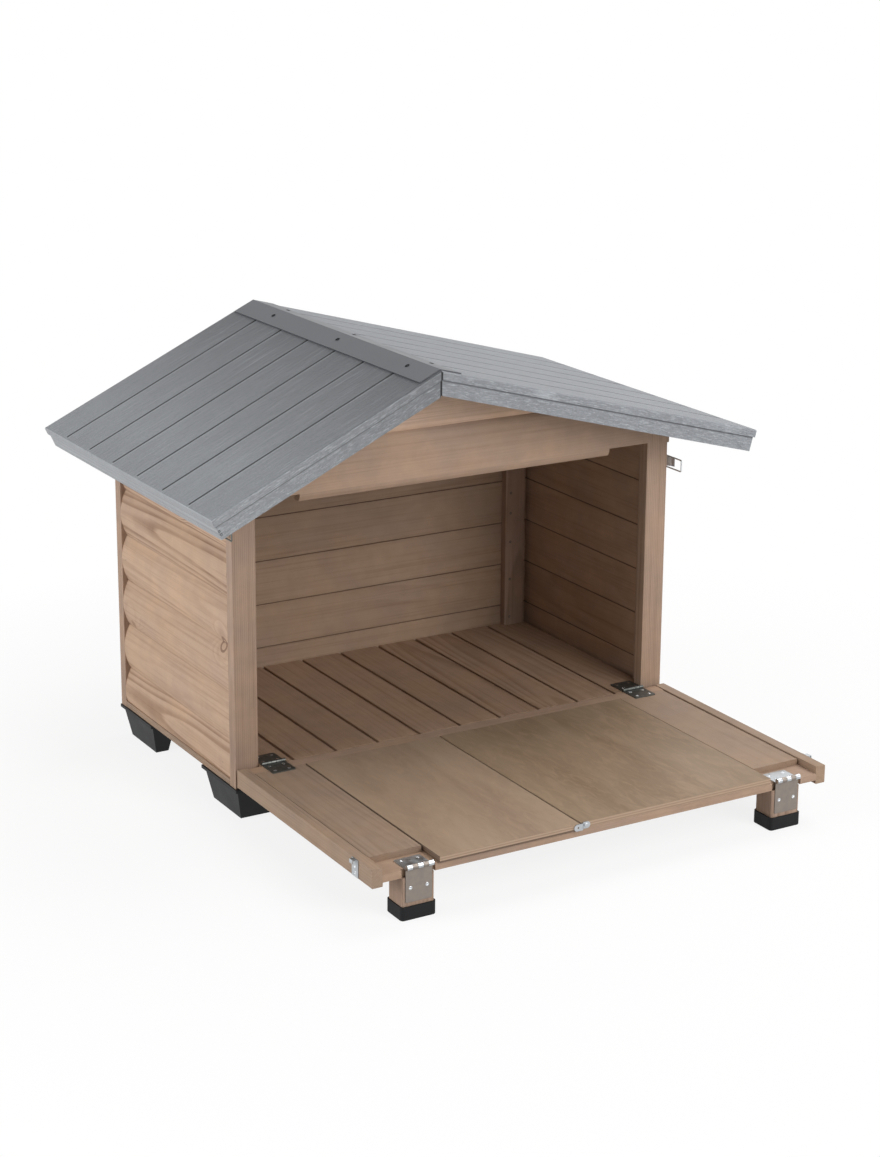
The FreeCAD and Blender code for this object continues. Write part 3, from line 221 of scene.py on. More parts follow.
def find_knots(tree, spot):
    """How far the rings are pushed, and the dark cores and bark of the knots."""
    cell = add(tree, "TexVoronoi", {"Vector": spot.board, "Scale": 1 / KNOT_SPACING})
    chance = add(tree, "SeparateColor", {0: cell.outputs["Color"]}).outputs[0]
    here = add(tree, "Math", {0: chance, 1: KNOT_SHARE}, operation="GREATER_THAN")
    near, far = KNOT_REACH
    pushed = add(tree, "MapRange", {0: cell, 1: near, 2: far, 3: SWERVE, 4: 0.0})
    to_knot = add(tree, "VectorMath", {0: spot.place, 1: WALL_KNOT}, operation="DISTANCE")
    away = to_knot.outputs["Value"]
    near, far = WALL_KNOT_REACH
    pushed_there = add(tree, "MapRange", {0: away, 1: near, 2: far, 3: SWERVE, 4: 0.0})
    swerve = add(tree, "Math", {0: pushed, 1: here, 2: pushed_there}, operation="MULTIPLY_ADD")
    near, far = KNOT_EDGE
    edge = add(tree, "MapRange", {0: cell, 1: near, 2: far, 3: CORE_TONE, 4: 0.0})
    core = add(tree, "Math", {0: edge, 1: here}, operation="MULTIPLY")
    ring = add(tree, "Math", {0: away, 1: BARK_RADIUS, 2: BARK_HALF}, operation="COMPARE")
    bark = add(tree, "Math", {0: ring, 1: BARK_TONE}, operation="MULTIPLY")
    return swerve, core, bark


print("one knot sits at", tuple(round(v, 3) for v in WALL_KNOT))

# %% [markdown]
# Pine shows yearly rings: pale soft early wood, then a thin darker line of late wood. A flat-sawn
# board cuts the rings at a low angle, which draws long arches. A wave texture could fake them on
# one face. The honest way to get arches on a face and rings on an end is to paint the trunk: the
# colour is a function of the distance to the heart of the tree. The heart runs along the board at
# a depth of about 35 mm, leans a little, and sits at a random place across. The real rings are 3
# to 5 mm apart, and 4.2 mm just shows at the size of this picture.

# %% Growth rings
RING_SPACING = 0.0042
HEART_DEPTH = 0.035
HEART_LEAN = 0.01                             # metres sideways for each metre of board
TRUNK_BEND = 0.013                            # metres that the heart wanders to and fro
BEND_SIZE = per_metre(770, 110, 110)
LATE_WOOD = ((0.25, 0.0), (0.85, 1.0), (0.97, 0.0))   # it darkens slowly, then breaks off


def late_wood(tree, spot, swerve):
    """The late wood of the yearly rings, 0 to 1."""
    slow = add(tree, "VectorMath", {0: spot.board, 1: BEND_SIZE}, operation="MULTIPLY")
    wander = add(tree, "TexNoise", {"Vector": slow, "Scale": 1.0, "Detail": 2.0})
    centred = add(tree, "Math", {0: wander, 1: 0.5}, operation="SUBTRACT")
    bend = add(tree, "Math", {0: centred, 1: TRUNK_BEND}, operation="MULTIPLY")
    heart = add(tree, "Math", {0: spot.luck[1], 1: spot.pitch}, operation="MULTIPLY")
    beside = add(tree, "Math", {0: spot.inside, 1: heart}, operation="SUBTRACT")
    across = add(tree, "Math", {0: beside, 1: bend}, operation="ADD")
    lean = add(tree, "Math", {0: spot.shifted, 1: HEART_LEAN, 2: HEART_DEPTH},
               operation="MULTIPLY_ADD")
    below = add(tree, "Math", {0: spot.third, 1: lean}, operation="ADD")
    depth = add(tree, "Math", {0: below, 1: bend}, operation="ADD")
    trunk = add(tree, "CombineXYZ", {0: across, 1: depth})
    radius = add(tree, "VectorMath", {0: trunk}, operation="LENGTH").outputs["Value"]
    grown = add(tree, "Math", {0: radius, 1: swerve}, operation="ADD")
    years = add(tree, "Math", {0: grown, 1: RING_SPACING}, operation="DIVIDE")
    season = add(tree, "Math", {0: years}, operation="FRACT")
    late = add(tree, "ValToRGB", {0: season})
    late.color_ramp.interpolation = "EASE"
    late.color_ramp.elements.new(0.5)
    for stop, (position, value) in zip(late.color_ramp.elements, LATE_WOOD):
        stop.position = position
        stop.color = (value, value, value, 1)
    return late


print("a 97 mm log shows about", round(0.097 / RING_SPACING), "rings")

# %% [markdown]
# Boards differ a lot. One in three was sawn where the late wood is dark, and the rest are nearly
# plain. So the contrast of the rings is a random number of the board too. On the left wall the
# lowest log and two under the eave are marked in the photograph, so they are called by number.
#
# Where two boards meet, dust and shade make a thin dark line, 1.3 mm to each side of the joint.
# On the outside of a log wall the joint is a deep valley that makes its own shade, so the line
# is faint there.

# %% Ring contrast and joint lines
MARKED_SHARE = (0.6, 0.95)                    # dice between which a board gets marked rings
JOINT_HALF = 0.0013
JOINT_OUTSIDE = 0.3                           # share of the line that is left outside


def ring_contrast(tree, spot, rings, calm, loud):
    """Strong rings on marked boards, and a calm share of them on the others."""
    plain, marked = MARKED_SHARE
    contrast = add(tree, "MapRange", {0: spot.luck[2], 1: plain, 2: marked, 3: rings * calm, 4: rings})
    for course in loud:
        chosen = add(tree, "Math", {0: spot.number, 1: course, 2: 0.5}, operation="COMPARE")
        strong = add(tree, "Math", {0: chosen, 1: rings}, operation="MULTIPLY")
        contrast = add(tree, "Math", {0: contrast, 1: strong}, operation="MAXIMUM")
    return contrast


def joint_line(tree, spot, joint, inside_of):
    """The dark line between boards; inside_of is the middle of the house and its reach."""
    fold = add(tree, "Math", {0: spot.turns, 1: 0.5}, operation="PINGPONG")
    beside = add(tree, "Math", {0: fold, 1: spot.pitch}, operation="MULTIPLY")
    sharp, soft = JOINT_HALF * 0.5, JOINT_HALF * 1.5
    line = add(tree, "MapRange", {0: beside, 1: sharp, 2: soft, 3: joint, 4: 0.0})
    if inside_of:
        middle, reach = inside_of
        off = add(tree, "Math", {0: spot.third, 1: middle}, operation="SUBTRACT")
        offset = add(tree, "Math", {0: off}, operation="ABSOLUTE")
        indoors = add(tree, "Math", {0: offset, 1: reach}, operation="LESS_THAN")
        share = add(tree, "MapRange", {0: indoors, 3: JOINT_OUTSIDE, 4: 1.0})
        line = add(tree, "Math", {0: line, 1: share}, operation="MULTIPLY")
    return line


print("joint lines are", JOINT_HALF * 2000, "mm wide")

# %% [markdown]
# Over the rings lie four more patterns. Fibres are thinner than the render can show, so they are
# drawn 0.8 mm wide and 90 mm long. Bands 5 mm wide are what is left of rings that the stain has
# hidden. The stain soaked in unevenly: in patches of 110 mm, where the board is warmer or greyer,
# and in spots of 38 mm. Each is a noise texture whose space is squeezed to the real size. An image
# of wood would do as well on one board, but it would repeat on the next.

# %% Patterns of the wood
FIBRE_SIZE = per_metre(90, 0.8, 0.8)          # along the board, across it and into it
BAND_SIZE = per_metre(330, 4.8, 4.8)
PATCH_SCALE, SOAK_SCALE = per_metre(110, 38)


def wood_patterns(tree, spot):
    """The fibres, bands, patches and soaked spots of a board."""
    thin = add(tree, "VectorMath", {0: spot.board, 1: FIBRE_SIZE}, operation="MULTIPLY")
    fibre = add(tree, "TexNoise", {"Vector": thin, "Scale": 1.0, "Detail": 3.0})
    wide = add(tree, "VectorMath", {0: spot.board, 1: BAND_SIZE}, operation="MULTIPLY")
    band = add(tree, "TexNoise", {"Vector": wide, "Scale": 1.0, "Detail": 2.0})
    patch = add(tree, "TexNoise", {"Vector": spot.board, "Scale": PATCH_SCALE, "Detail": 4.0,
                                   "Roughness": 0.62})
    soak = add(tree, "TexNoise", {"Vector": spot.board, "Scale": SOAK_SCALE, "Detail": 3.0,
                                  "Roughness": 0.6})
    return fibre, band, patch, soak


print("a fibre is", 1000 / FIBRE_SIZE[1], "mm wide")

# %% [markdown]
# The colour is built up like the finish. Light and dark pine are mixed by the shade of the rings.
# A nearly white tint goes over them, warm here and grey there, because a thin stain only filters
# the wood. Last come small differences: each fibre, each board and each soaked spot is a few per
# cent darker or brighter. They are multiplied in, so that light and dark wood change alike.

# %% The stained colour
WARM_STAIN, GREY_STAIN = paint("#FFFAF4"), paint("#F6F4F5")
FIBRE_TONE, BOARD_TONE, SOAK_TONE = (0.93, 1.05), (0.94, 1.04), (0.95, 1.05)


def stained_wood(tree, spot, shade, patterns, light, dark):
    """The stained colour, from the shade of the rings and the patterns."""
    fibre, _, patch, soak = patterns
    wood = add(tree, "Mix", {0: shade, 6: paint(light), 7: paint(dark)}, data_type="RGBA")
    warmth = add(tree, "MapRange", {0: patch, 1: 0.38, 2: 0.62})
    stain = add(tree, "Mix", {0: warmth, 6: WARM_STAIN, 7: GREY_STAIN}, data_type="RGBA")
    wood = add(tree, "Mix", {0: 1.0, 6: wood, 7: stain}, data_type="RGBA", blend_type="MULTIPLY")
    hair = add(tree, "MapRange", {0: fibre, 1: LOW, 2: HIGH, 3: FIBRE_TONE[0], 4: FIBRE_TONE[1]})
    tone = add(tree, "MapRange", {0: spot.luck[0], 3: BOARD_TONE[0], 4: BOARD_TONE[1]})
    cloud = add(tree, "MapRange", {0: soak, 1: LOW, 2: HIGH, 3: SOAK_TONE[0], 4: SOAK_TONE[1]})
    for factor in (hair, tone, cloud):
        wood = add(tree, "Mix", {0: 1.0, 6: wood, 7: factor}, data_type="RGBA", blend_type="MULTIPLY")
    return wood


print("the brightest board has", BOARD_TONE[1], "of the mean tone, the darkest", BOARD_TONE[0])

# %% [markdown]
# Now all parts come together. Knots, bark and joint lines are laid over the wood as thin layers
# of brown. Fibres and late wood make the relief that a plane leaves, because the soft early wood
# gives way under the blade. A thin stain keeps the wood matt, so the roughness is about 0.6 and
# the specular level low.

# %% The pine material
KNOT_BROWN, BARK_BROWN, JOINT_BROWN = paint("#7C5A43"), paint("#6E4F3B"), paint("#3D2A1E")
BAND_TONE = 0.3                               # how far a band goes to the dark pine
PLANED_DEPTH = 0.0006
PINE_ROUGH = (0.58, 0.7)
WOOD_IOR, PINE_SPECULAR = 1.5, 0.3


def stained_pine(name, grain, stack, pitch, start, light, dark, rings=0.6, calm=0.22, joint=0.0,
                 inside_of=None, loud=()):
    """Planed and stained pine: grain is the axis along the boards, which repeat along stack.

    Rings is the strongest contrast of the rings, and calm the share of it that a plain board has.
    Joint is how dark the joint lines are, inside of what inside_of says. Boards whose number is
    in loud always show strong rings.
    """
    material, tree = start_material(name)
    spot = find_board(tree, grain, stack, pitch, start)
    swerve, core, bark = find_knots(tree, spot)
    patterns = wood_patterns(tree, spot)
    fibre, band, patch, _ = patterns
    patchy = add(tree, "MapRange", {0: patch, 1: 0.35, 2: 0.65, 3: 0.6, 4: 1.0})
    contrast = ring_contrast(tree, spot, rings, calm, loud)
    strength = add(tree, "Math", {0: contrast, 1: patchy}, operation="MULTIPLY")
    banded = add(tree, "MapRange", {0: band, 1: 0.5, 2: 0.72, 4: BAND_TONE})
    late = late_wood(tree, spot, swerve)
    shade = add(tree, "Math", {0: late, 1: strength, 2: banded}, operation="MULTIPLY_ADD")
    wood = stained_wood(tree, spot, shade, patterns, light, dark)
    line = joint_line(tree, spot, joint, inside_of)
    for share, brown in ((core, KNOT_BROWN), (bark, BARK_BROWN), (line, JOINT_BROWN)):
        wood = add(tree, "Mix", {0: share, 6: wood, 7: brown}, data_type="RGBA")
    relief = add(tree, "Math", {0: fibre, 1: 0.6, 2: shade}, operation="MULTIPLY_ADD")
    bump = add(tree, "Bump", {"Height": relief, "Strength": 0.25, "Distance": PLANED_DEPTH})
    rough = add(tree, "MapRange", {0: fibre, 1: LOW, 2: HIGH, 3: PINE_ROUGH[0], 4: PINE_ROUGH[1]})
    surface = add(tree, "BsdfPrincipled", {"Base Color": wood, "Roughness": rough, "Normal": bump,
                                           "IOR": WOOD_IOR, "Specular IOR Level": PINE_SPECULAR})
    add(tree, "OutputMaterial", {"Surface": surface})
    return material


print("pine is between", PINE_ROUGH[0], "and", PINE_ROUGH[1], "rough")

# %% [markdown]
# Boards lie in different directions and came from different trunks, so the same pine is made several
# times. Stack, pitch and start tell the material where one board ends and the next starts. In the walls
# half-logs lie on top of each other every 97 mm. The left wall catches the light and shows lively rings,
# the right wall is seen from the inside and is calm. The right and back walls also get darker pine than
# the left one, which is painted shade.

# %% Pine for the walls
LOG_PITCH = 0.097
LOG_START = at(0, 0, 85.6).z                  # top of the lowest log, whose number is -1
LOG_LAYERS = ("Z", LOG_PITCH, LOG_START)
SIDE_WALLS = (at(0, 0, 0).x, 0.483)           # middle of the house, out to the valley of the logs
BACK_WALL = (at(0, 0, 0).y, 0.509)
MARKED_LOGS = (-1, 3, 4)

# the darker colours of the right and back walls' pine are painted shade
left_logs = stained_pine("stained_pine_left_logs", "Y", *LOG_LAYERS, "#BFA48D", "#8F7058", rings=0.8,
                         joint=0.6, inside_of=SIDE_WALLS, loud=MARKED_LOGS)
right_logs = stained_pine("stained_pine_right_logs_painted_shade", "Y", *LOG_LAYERS, "#B69A83", "#8D7059", rings=0.35,
                          calm=0.5, joint=0.7, inside_of=SIDE_WALLS)
back_logs = stained_pine("stained_pine_back_logs_painted_shade", "X", *LOG_LAYERS, "#A8907B", "#836852", rings=0.5,
                         joint=0.6, inside_of=BACK_WALL)
coat(left_logs, "left_wall_logs")
coat(right_logs, "right_wall_logs")
coat(back_logs, "back_wall_logs")

# %% [markdown]
# Posts stand, rails and the gable lie across, and trims, stiles and floor boards run away from the
# house. The floor boards lie beside each other every 94.6 mm. Single posts, trims and stiles get a pitch
# wider than themselves, and differ by their object's random number. The crosswise boards keep the layers
# of the logs. The gable board gets paler pine, a painted light that lifts it out of the shade of the
# roof. The trims were cut from browner wood.

# %% Pine for the frame, the floor and the terrace
FLOOR_PITCH = 0.0946
FLOOR_START = at(0, 0, 0).x
SINGLE = 0.6                                  # a pitch wider than any single board
SINGLE_BOARDS = ("X", SINGLE, -0.9)           # no edge between two of them crosses a board
GABLE_BOARD = ("Z", SINGLE, -0.2)

upright = stained_pine("stained_pine_upright", "Z", *SINGLE_BOARDS, "#AD9583", "#7E6450", rings=0.7,
                       calm=0.55)
coat(upright, "front_post_left", "front_post_right", "rear_post_left", "rear_post_right",
     "front_batten_left", "front_batten_right", "rear_batten_left", "rear_batten_right",
     "leg_block_left", "leg_block_right")
crosswise = stained_pine("stained_pine_crosswise", "X", *LOG_LAYERS, "#AB927E", "#8F745F")
coat(crosswise, "header_board", "hinge_rail", "outer_rail", "floor_bearer_front",
     "floor_bearer_middle", "floor_bearer_back")
# paler pine on the gable board: painted light against the shade of the roof
gable_pine = stained_pine("stained_pine_gable_painted_light", "X", *GABLE_BOARD, "#CBAF99", "#A58770", rings=0.5)
coat(gable_pine, "front_gable_board")
lengthwise = stained_pine("stained_pine_lengthwise", "Y", *SINGLE_BOARDS, "#A18B78", "#806852", calm=0.4)
coat(lengthwise, "base_rail_left", "base_rail_right", "eave_cleat_left", "eave_cleat_right",
     "panel_trim_left", "panel_trim_right", "stile_board_left", "stile_board_right")
floor_boards = stained_pine("stained_pine_floor_boards", "Y", "X", FLOOR_PITCH, FLOOR_START, "#A88D77",
                            "#7E6048", rings=0.55)
coat(floor_boards, "floor_slats")

# %% [markdown]
# The two wide boards of the terrace are plywood. Its face is a veneer that was peeled off the
# turning log like paper off a roll, so it has no narrow rings, only broad soft clouds drawn out
# along the grain, and short dark pores. The real pores are hair-thin, and are drawn 1.4 mm wide
# to show at all. The stain takes darker on the veneer than on the pine. The trunk that served the
# pine would draw rings here, so the veneer is built from noise alone.

# %% Veneer
CLOUD_SIZE = per_metre(110, 420, 110)
FIGURE_FINER = 6.0                            # the figure is that much finer than the clouds
PORE_SIZE = per_metre(1.4, 22, 1.4)
FIGURE_TONE, PORE_BROWN = paint("#AD9077"), paint("#6D5543")


def veneer(tree, place, light, dark):
    """The face of the plywood, and its clouds and pores."""
    drawn = add(tree, "VectorMath", {0: place, 1: CLOUD_SIZE}, operation="MULTIPLY")
    cloud = add(tree, "TexNoise", {"Vector": drawn, "Scale": 1.0, "Detail": 4.0, "Distortion": 1.1})
    figure = add(tree, "TexNoise", {"Vector": drawn, "Scale": FIGURE_FINER, "Detail": 3.0,
                                    "Distortion": 1.6})
    short = add(tree, "VectorMath", {0: place, 1: PORE_SIZE}, operation="MULTIPLY")
    pore = add(tree, "TexNoise", {"Vector": short, "Scale": 1.0, "Detail": 2.0})
    clouds = add(tree, "MapRange", {0: cloud, 1: 0.32, 2: 0.68})
    figures = add(tree, "MapRange", {0: figure, 1: 0.45, 2: 0.7, 4: 0.35})
    pores = add(tree, "MapRange", {0: pore, 1: 0.6, 2: 0.75, 4: 0.3})
    face = add(tree, "Mix", {0: clouds, 6: paint(light), 7: paint(dark)}, data_type="RGBA")
    face = add(tree, "Mix", {0: figures, 6: face, 7: FIGURE_TONE}, data_type="RGBA")
    face = add(tree, "Mix", {0: pores, 6: face, 7: PORE_BROWN}, data_type="RGBA")
    return face, cloud, pore


print("pores are", round(1000 / PORE_SIZE[0], 1), "by", round(1000 / PORE_SIZE[1]), "mm")

# %% [markdown]
# The cut edge is different again: pale and dark plies in turn, five in 12 mm, which here are soft bands
# over the height. The surface's own direction tells the faces from the edges, so one material serves the
# whole board. A thin dark band at the foot of a board is a painted shadow under its overhang, and its
# side edges are darkened as painted shade in the seams. The loose board gets much more of both than the
# centre board.

# %% Stained plywood for the wide terrace boards
PLY = 0.0024
PLY_BOTTOM = at(0, 0, 30).z
# a painted shadow at the foot of the board, and painted shade along its side edges in the seams
FOOT_SHADOW_HEIGHT = 0.0032
SEAM_SHADE_BROWN = paint("#3B2A1F")
PALE_PLY, DARK_PLY = paint("#AE9580"), paint("#9C836C")
PLY_ROUGH = (0.5, 0.62)
PLY_SPECULAR = 0.35
PORE_DEPTH = 0.0005


def stained_plywood(name, light, dark, shade_darkness):
    """Plywood with a veneer face and ply edges; the last argument is how dark the painted shadow at the
    foot and the painted shade of the seams are.
    """
    material, tree = start_material(name)
    place = add(tree, "TexCoord").outputs
    face, cloud, pore = veneer(tree, place["Object"], light, dark)
    height = add(tree, "SeparateXYZ", {0: place["Object"]}).outputs[2]
    above = add(tree, "Math", {0: height, 1: PLY_BOTTOM}, operation="SUBTRACT")
    plies = add(tree, "Math", {0: above, 1: PLY}, operation="DIVIDE")
    fold = add(tree, "Math", {0: plies, 1: 1.0}, operation="PINGPONG")
    layer = add(tree, "MapRange", {0: fold, 1: 0.3, 2: 0.7})
    edge = add(tree, "Mix", {0: layer, 6: PALE_PLY, 7: DARK_PLY}, data_type="RGBA")
    facing = add(tree, "SeparateXYZ", {0: place["Normal"]}).outputs
    up = add(tree, "Math", {0: facing[2]}, operation="ABSOLUTE")
    flat = add(tree, "MapRange", {0: up, 1: 0.3, 2: 0.6})
    # painted shadow in a thin band at the foot, painted shade on the side edges
    low = add(tree, "Math", {0: above, 1: FOOT_SHADOW_HEIGHT}, operation="LESS_THAN")
    sideways = add(tree, "Math", {0: facing[0]}, operation="ABSOLUTE")
    beside = add(tree, "MapRange", {0: sideways, 1: 0.3, 2: 0.6})
    seam_shade = add(tree, "Math", {0: low, 1: beside}, operation="MAXIMUM")
    seam_shade = add(tree, "Math", {0: seam_shade, 1: shade_darkness}, operation="MULTIPLY")
    colour = add(tree, "Mix", {0: flat, 6: edge, 7: face}, data_type="RGBA")
    colour = add(tree, "Mix", {0: seam_shade, 6: colour, 7: SEAM_SHADE_BROWN}, data_type="RGBA")
    bump = add(tree, "Bump", {"Height": pore, "Strength": 0.2, "Distance": PORE_DEPTH})
    rough = add(tree, "MapRange", {0: cloud, 1: LOW, 2: HIGH, 3: PLY_ROUGH[0], 4: PLY_ROUGH[1]})
    surface = add(tree, "BsdfPrincipled", {"Base Color": colour, "Roughness": rough, "Normal": bump,
                                           "IOR": WOOD_IOR, "Specular IOR Level": PLY_SPECULAR})
    add(tree, "OutputMaterial", {"Surface": surface})
    return material


coat(stained_plywood("stained_poplar_plywood_door", "#A28C76", "#8E7864", 0.7), "door_board")
coat(stained_plywood("stained_poplar_plywood_centre", "#927D66", "#7F6A53", 0.1), "centre_board")

# %% [markdown]
# The roof is moulded polypropylene, coloured right through and pressed against a mould with a
# wood grain in it. What the eye gets is a grey with a fine embossed grain that catches the light
# in small streaks. It could be carved into the mesh, but that would take millions of faces, so
# it is bump. It runs down the slope in streaks 2.6 mm wide and 60 mm long, over a coarser rolling
# relief and a grit of 4 mm. The real grit is finer, but then the render would not show it. Use
# and weather leave pale scratches along the grain. They too are drawn wider than they are.
#
# All of it is shifted by a random number for each plank, so that the pattern breaks at every
# groove as it does on the mould.

# %% Embossed grain of the roof
GROOVE_PITCH = 0.117
GROOVE_START = at(0, -29.5, 0).y
PLANK_SHIFT = 5.0                             # metres of mould that the planks are taken from
GRAIN_SIZE = per_metre(62, 2.6, 62)
ROLL_SIZE = per_metre(45, 11, 45)
SCRATCH_SIZE = per_metre(110, 1.25, 110)
GRIT_SCALE, HAZE_SCALE = per_metre(4.3, 200)


def roof_patterns(tree):
    """The places on the planks, and the patterns pressed into them."""
    place = add(tree, "TexCoord").outputs
    axis = add(tree, "SeparateXYZ", {0: place["Object"]}).outputs
    ahead = add(tree, "Math", {0: axis[1], 1: GROOVE_START}, operation="SUBTRACT")
    turns = add(tree, "Math", {0: ahead, 1: GROOVE_PITCH}, operation="DIVIDE")
    number = add(tree, "Math", {0: turns}, operation="FLOOR")
    luck = add(tree, "TexWhiteNoise", {"W": number}, noise_dimensions="1D").outputs["Value"]
    shifted = add(tree, "Math", {0: luck, 1: PLANK_SHIFT, 2: axis[0]}, operation="MULTIPLY_ADD")
    plank = add(tree, "CombineXYZ", {0: shifted, 1: axis[1], 2: axis[2]})
    long = add(tree, "VectorMath", {0: plank, 1: GRAIN_SIZE}, operation="MULTIPLY")
    wide = add(tree, "VectorMath", {0: plank, 1: ROLL_SIZE}, operation="MULTIPLY")
    thin = add(tree, "VectorMath", {0: plank, 1: SCRATCH_SIZE}, operation="MULTIPLY")
    return SimpleNamespace(
        place=place, axis=axis, turns=turns,
        grain=add(tree, "TexNoise", {"Vector": long, "Scale": 1.0, "Detail": 3.0, "Distortion": 0.8}),
        roll=add(tree, "TexNoise", {"Vector": wide, "Scale": 1.0, "Detail": 3.0, "Distortion": 1.5}),
        scratch=add(tree, "TexNoise", {"Vector": thin, "Scale": 1.0, "Detail": 1.0}),
        grit=add(tree, "TexNoise", {"Vector": plank, "Scale": GRIT_SCALE, "Detail": 3.0,
                                    "Roughness": 0.7}),
        haze=add(tree, "TexNoise", {"Vector": plank, "Scale": HAZE_SCALE, "Detail": 3.0}),
    )


print("planks are", GROOVE_PITCH * 1000, "mm wide")

# %% [markdown]
# The V grooves between the planks hold shade and dust, and so does the small step where the skirt is set
# back below the edge band. From this far away a groove is thinner than the shade that it should hold, so
# both are also painted as dark lines: a groove by the distance along the ridge, the step by the height
# square to the slope. A groove also gets a painted highlight on the lip at its front side, and its head,
# where it runs under the cap, is painted black as shade. The two slopes meet in an open seam, whose
# shade is painted black too.

# %% Dark lines of the roof
GROOVE_HALF = {-1: 0.0034, 1: 0.0044}         # painted shade and dust lie wider on the flat slope
GROOVE_SHADE = 0.92
HEAD_HALF, HEAD_END = 0.0045, 0.058           # the groove's head, painted black as shade under the cap, out from the ridge
LIP_PLACE, LIP_HALF = 1.6, 0.4                # as shares of half a groove
LIP_HIGHLIGHT_SHARE = 0.35
TOP_FACING = 0.4                              # the planks look up more than this
RIDGE_LINE = at(-124.0, 0, 812.5)
SLOPES = {-1: math.radians(24.84), 1: math.radians(15.27)}
GROOVE_REACH = {-1: 0.4745, 1: 0.7380}        # from the ridge to the grooves' lower ends, in plan
STEP_HEIGHT, STEP_HALF, STEP_DARKNESS = -0.0175, 0.0016, 0.6
SEAM_HALF = 0.0022


def groove_lines(tree, on_roof, side, out, upward):
    """The grooves' painted shade and dust with their black heads of painted shade, and the painted
    highlights on the lips in front of them.
    """
    half = GROOVE_HALF[side]
    fold = add(tree, "Math", {0: on_roof.turns, 1: 0.5}, operation="PINGPONG")
    beside = add(tree, "Math", {0: fold, 1: GROOVE_PITCH}, operation="MULTIPLY")
    sharp, soft = half * 0.6, half * 1.15
    groove = add(tree, "MapRange", {0: beside, 1: sharp, 2: soft, 3: GROOVE_SHADE, 4: 0.0})
    narrow = add(tree, "Math", {0: beside, 1: HEAD_HALF}, operation="LESS_THAN")
    close = add(tree, "Math", {0: out, 1: HEAD_END}, operation="LESS_THAN")
    head = add(tree, "Math", {0: narrow, 1: close}, operation="MULTIPLY")
    groove = add(tree, "Math", {0: groove, 1: head}, operation="MAXIMUM")
    reached = add(tree, "Math", {0: out, 1: GROOVE_REACH[side]}, operation="LESS_THAN")
    on_top = add(tree, "Math", {0: upward, 1: TOP_FACING}, operation="GREATER_THAN")
    for limit in (reached, on_top):
        groove = add(tree, "Math", {0: groove, 1: limit}, operation="MULTIPLY")
    share = add(tree, "Math", {0: on_roof.turns}, operation="FRACT")
    before_end, wide = LIP_PLACE * half / GROOVE_PITCH, LIP_HALF * half / GROOVE_PITCH
    # the lip is a painted highlight in front of each groove
    lip_highlight = add(tree, "Math", {0: share, 1: 1.0 - before_end, 2: wide}, operation="COMPARE")
    return groove, add(tree, "Math", {0: lip_highlight, 1: LIP_HIGHLIGHT_SHARE}, operation="MULTIPLY")


def edge_lines(tree, on_roof, side, out, fascia):
    """The painted shade of the open seam at the ridge's ends, and the shade under the edge band."""
    close = add(tree, "Math", {0: out, 1: SEAM_HALF}, operation="LESS_THAN")
    seam_shade = add(tree, "Math", {0: close, 1: fascia}, operation="MULTIPLY")
    point = on_roof.place["Object"]
    from_ridge = add(tree, "VectorMath", {0: point, 1: RIDGE_LINE}, operation="SUBTRACT")
    square = (side * math.sin(SLOPES[side]), 0.0, math.cos(SLOPES[side]))
    above = add(tree, "VectorMath", {0: from_ridge, 1: square}, operation="DOT_PRODUCT")
    height = above.outputs["Value"]
    off = add(tree, "Math", {0: height, 1: STEP_HEIGHT}, operation="SUBTRACT")
    away = add(tree, "Math", {0: off}, operation="ABSOLUTE")
    sharp, soft = STEP_HALF * 0.7, STEP_HALF * 1.3
    step = add(tree, "MapRange", {0: away, 1: sharp, 2: soft, 3: STEP_DARKNESS, 4: 0.0})
    return seam_shade, step, height


print("slopes in degrees:", [round(math.degrees(angle), 2) for angle in SLOPES.values()])

# %% [markdown]
# The colour of a slope goes from one grey at the ridge to a paler one at the eave, which is painted
# shading. Haze, grain and grit darken and brighten it by a few per cent, the grit partly as a painted
# glint of the embossing, and scratches are mixed in pale. The fascias are paler still, a painted
# highlight of the edges, with pale and dusty streaks along the slope, 17 mm long and 2.4 mm high.

# %% Colours of the roof
HAZE_TONE, GRAIN_TONE, GRIT_AND_GLINT_TONE = (0.95, 1.05), (0.94, 1.1), (0.84, 1.16)
SCRATCH_TONE, SCRATCH_SHARE = paint("#C4C8CC"), 0.4
PALEST = 0.8                                  # share of the way to the eave where it is palest
STREAK_SCALES = per_metre(17, 2.4)
FASCIA_HIGHLIGHT_SHARE, PALE_SHARE, DUSTY_SHARE = 0.18, 0.4, 0.25


def roof_top_colour(tree, on_roof, side, out, high_colour, low_colour):
    """The grey of the planks with its painted shading, haze, grain, grit with its painted glint, and
    scratches.
    """
    outward = add(tree, "MapRange", {0: out, 2: PALEST * GROOVE_REACH[side]})
    base = add(tree, "Mix", {0: outward, 6: paint(high_colour), 7: paint(low_colour)}, data_type="RGBA")
    variations = ((on_roof.haze, (LOW, HIGH), HAZE_TONE), (on_roof.grain, (0.4, 0.7), GRAIN_TONE),
                  (on_roof.grit, (0.35, 0.65), GRIT_AND_GLINT_TONE))
    for pattern, (low, high), (darkest, brightest) in variations:
        factor = add(tree, "MapRange", {0: pattern, 1: low, 2: high, 3: darkest, 4: brightest})
        base = add(tree, "Mix", {0: 1.0, 6: base, 7: factor}, data_type="RGBA", blend_type="MULTIPLY")
    scratched = add(tree, "MapRange", {0: on_roof.scratch, 1: 0.64, 2: 0.76, 4: SCRATCH_SHARE})
    return add(tree, "Mix", {0: scratched, 6: base, 7: SCRATCH_TONE}, data_type="RGBA")


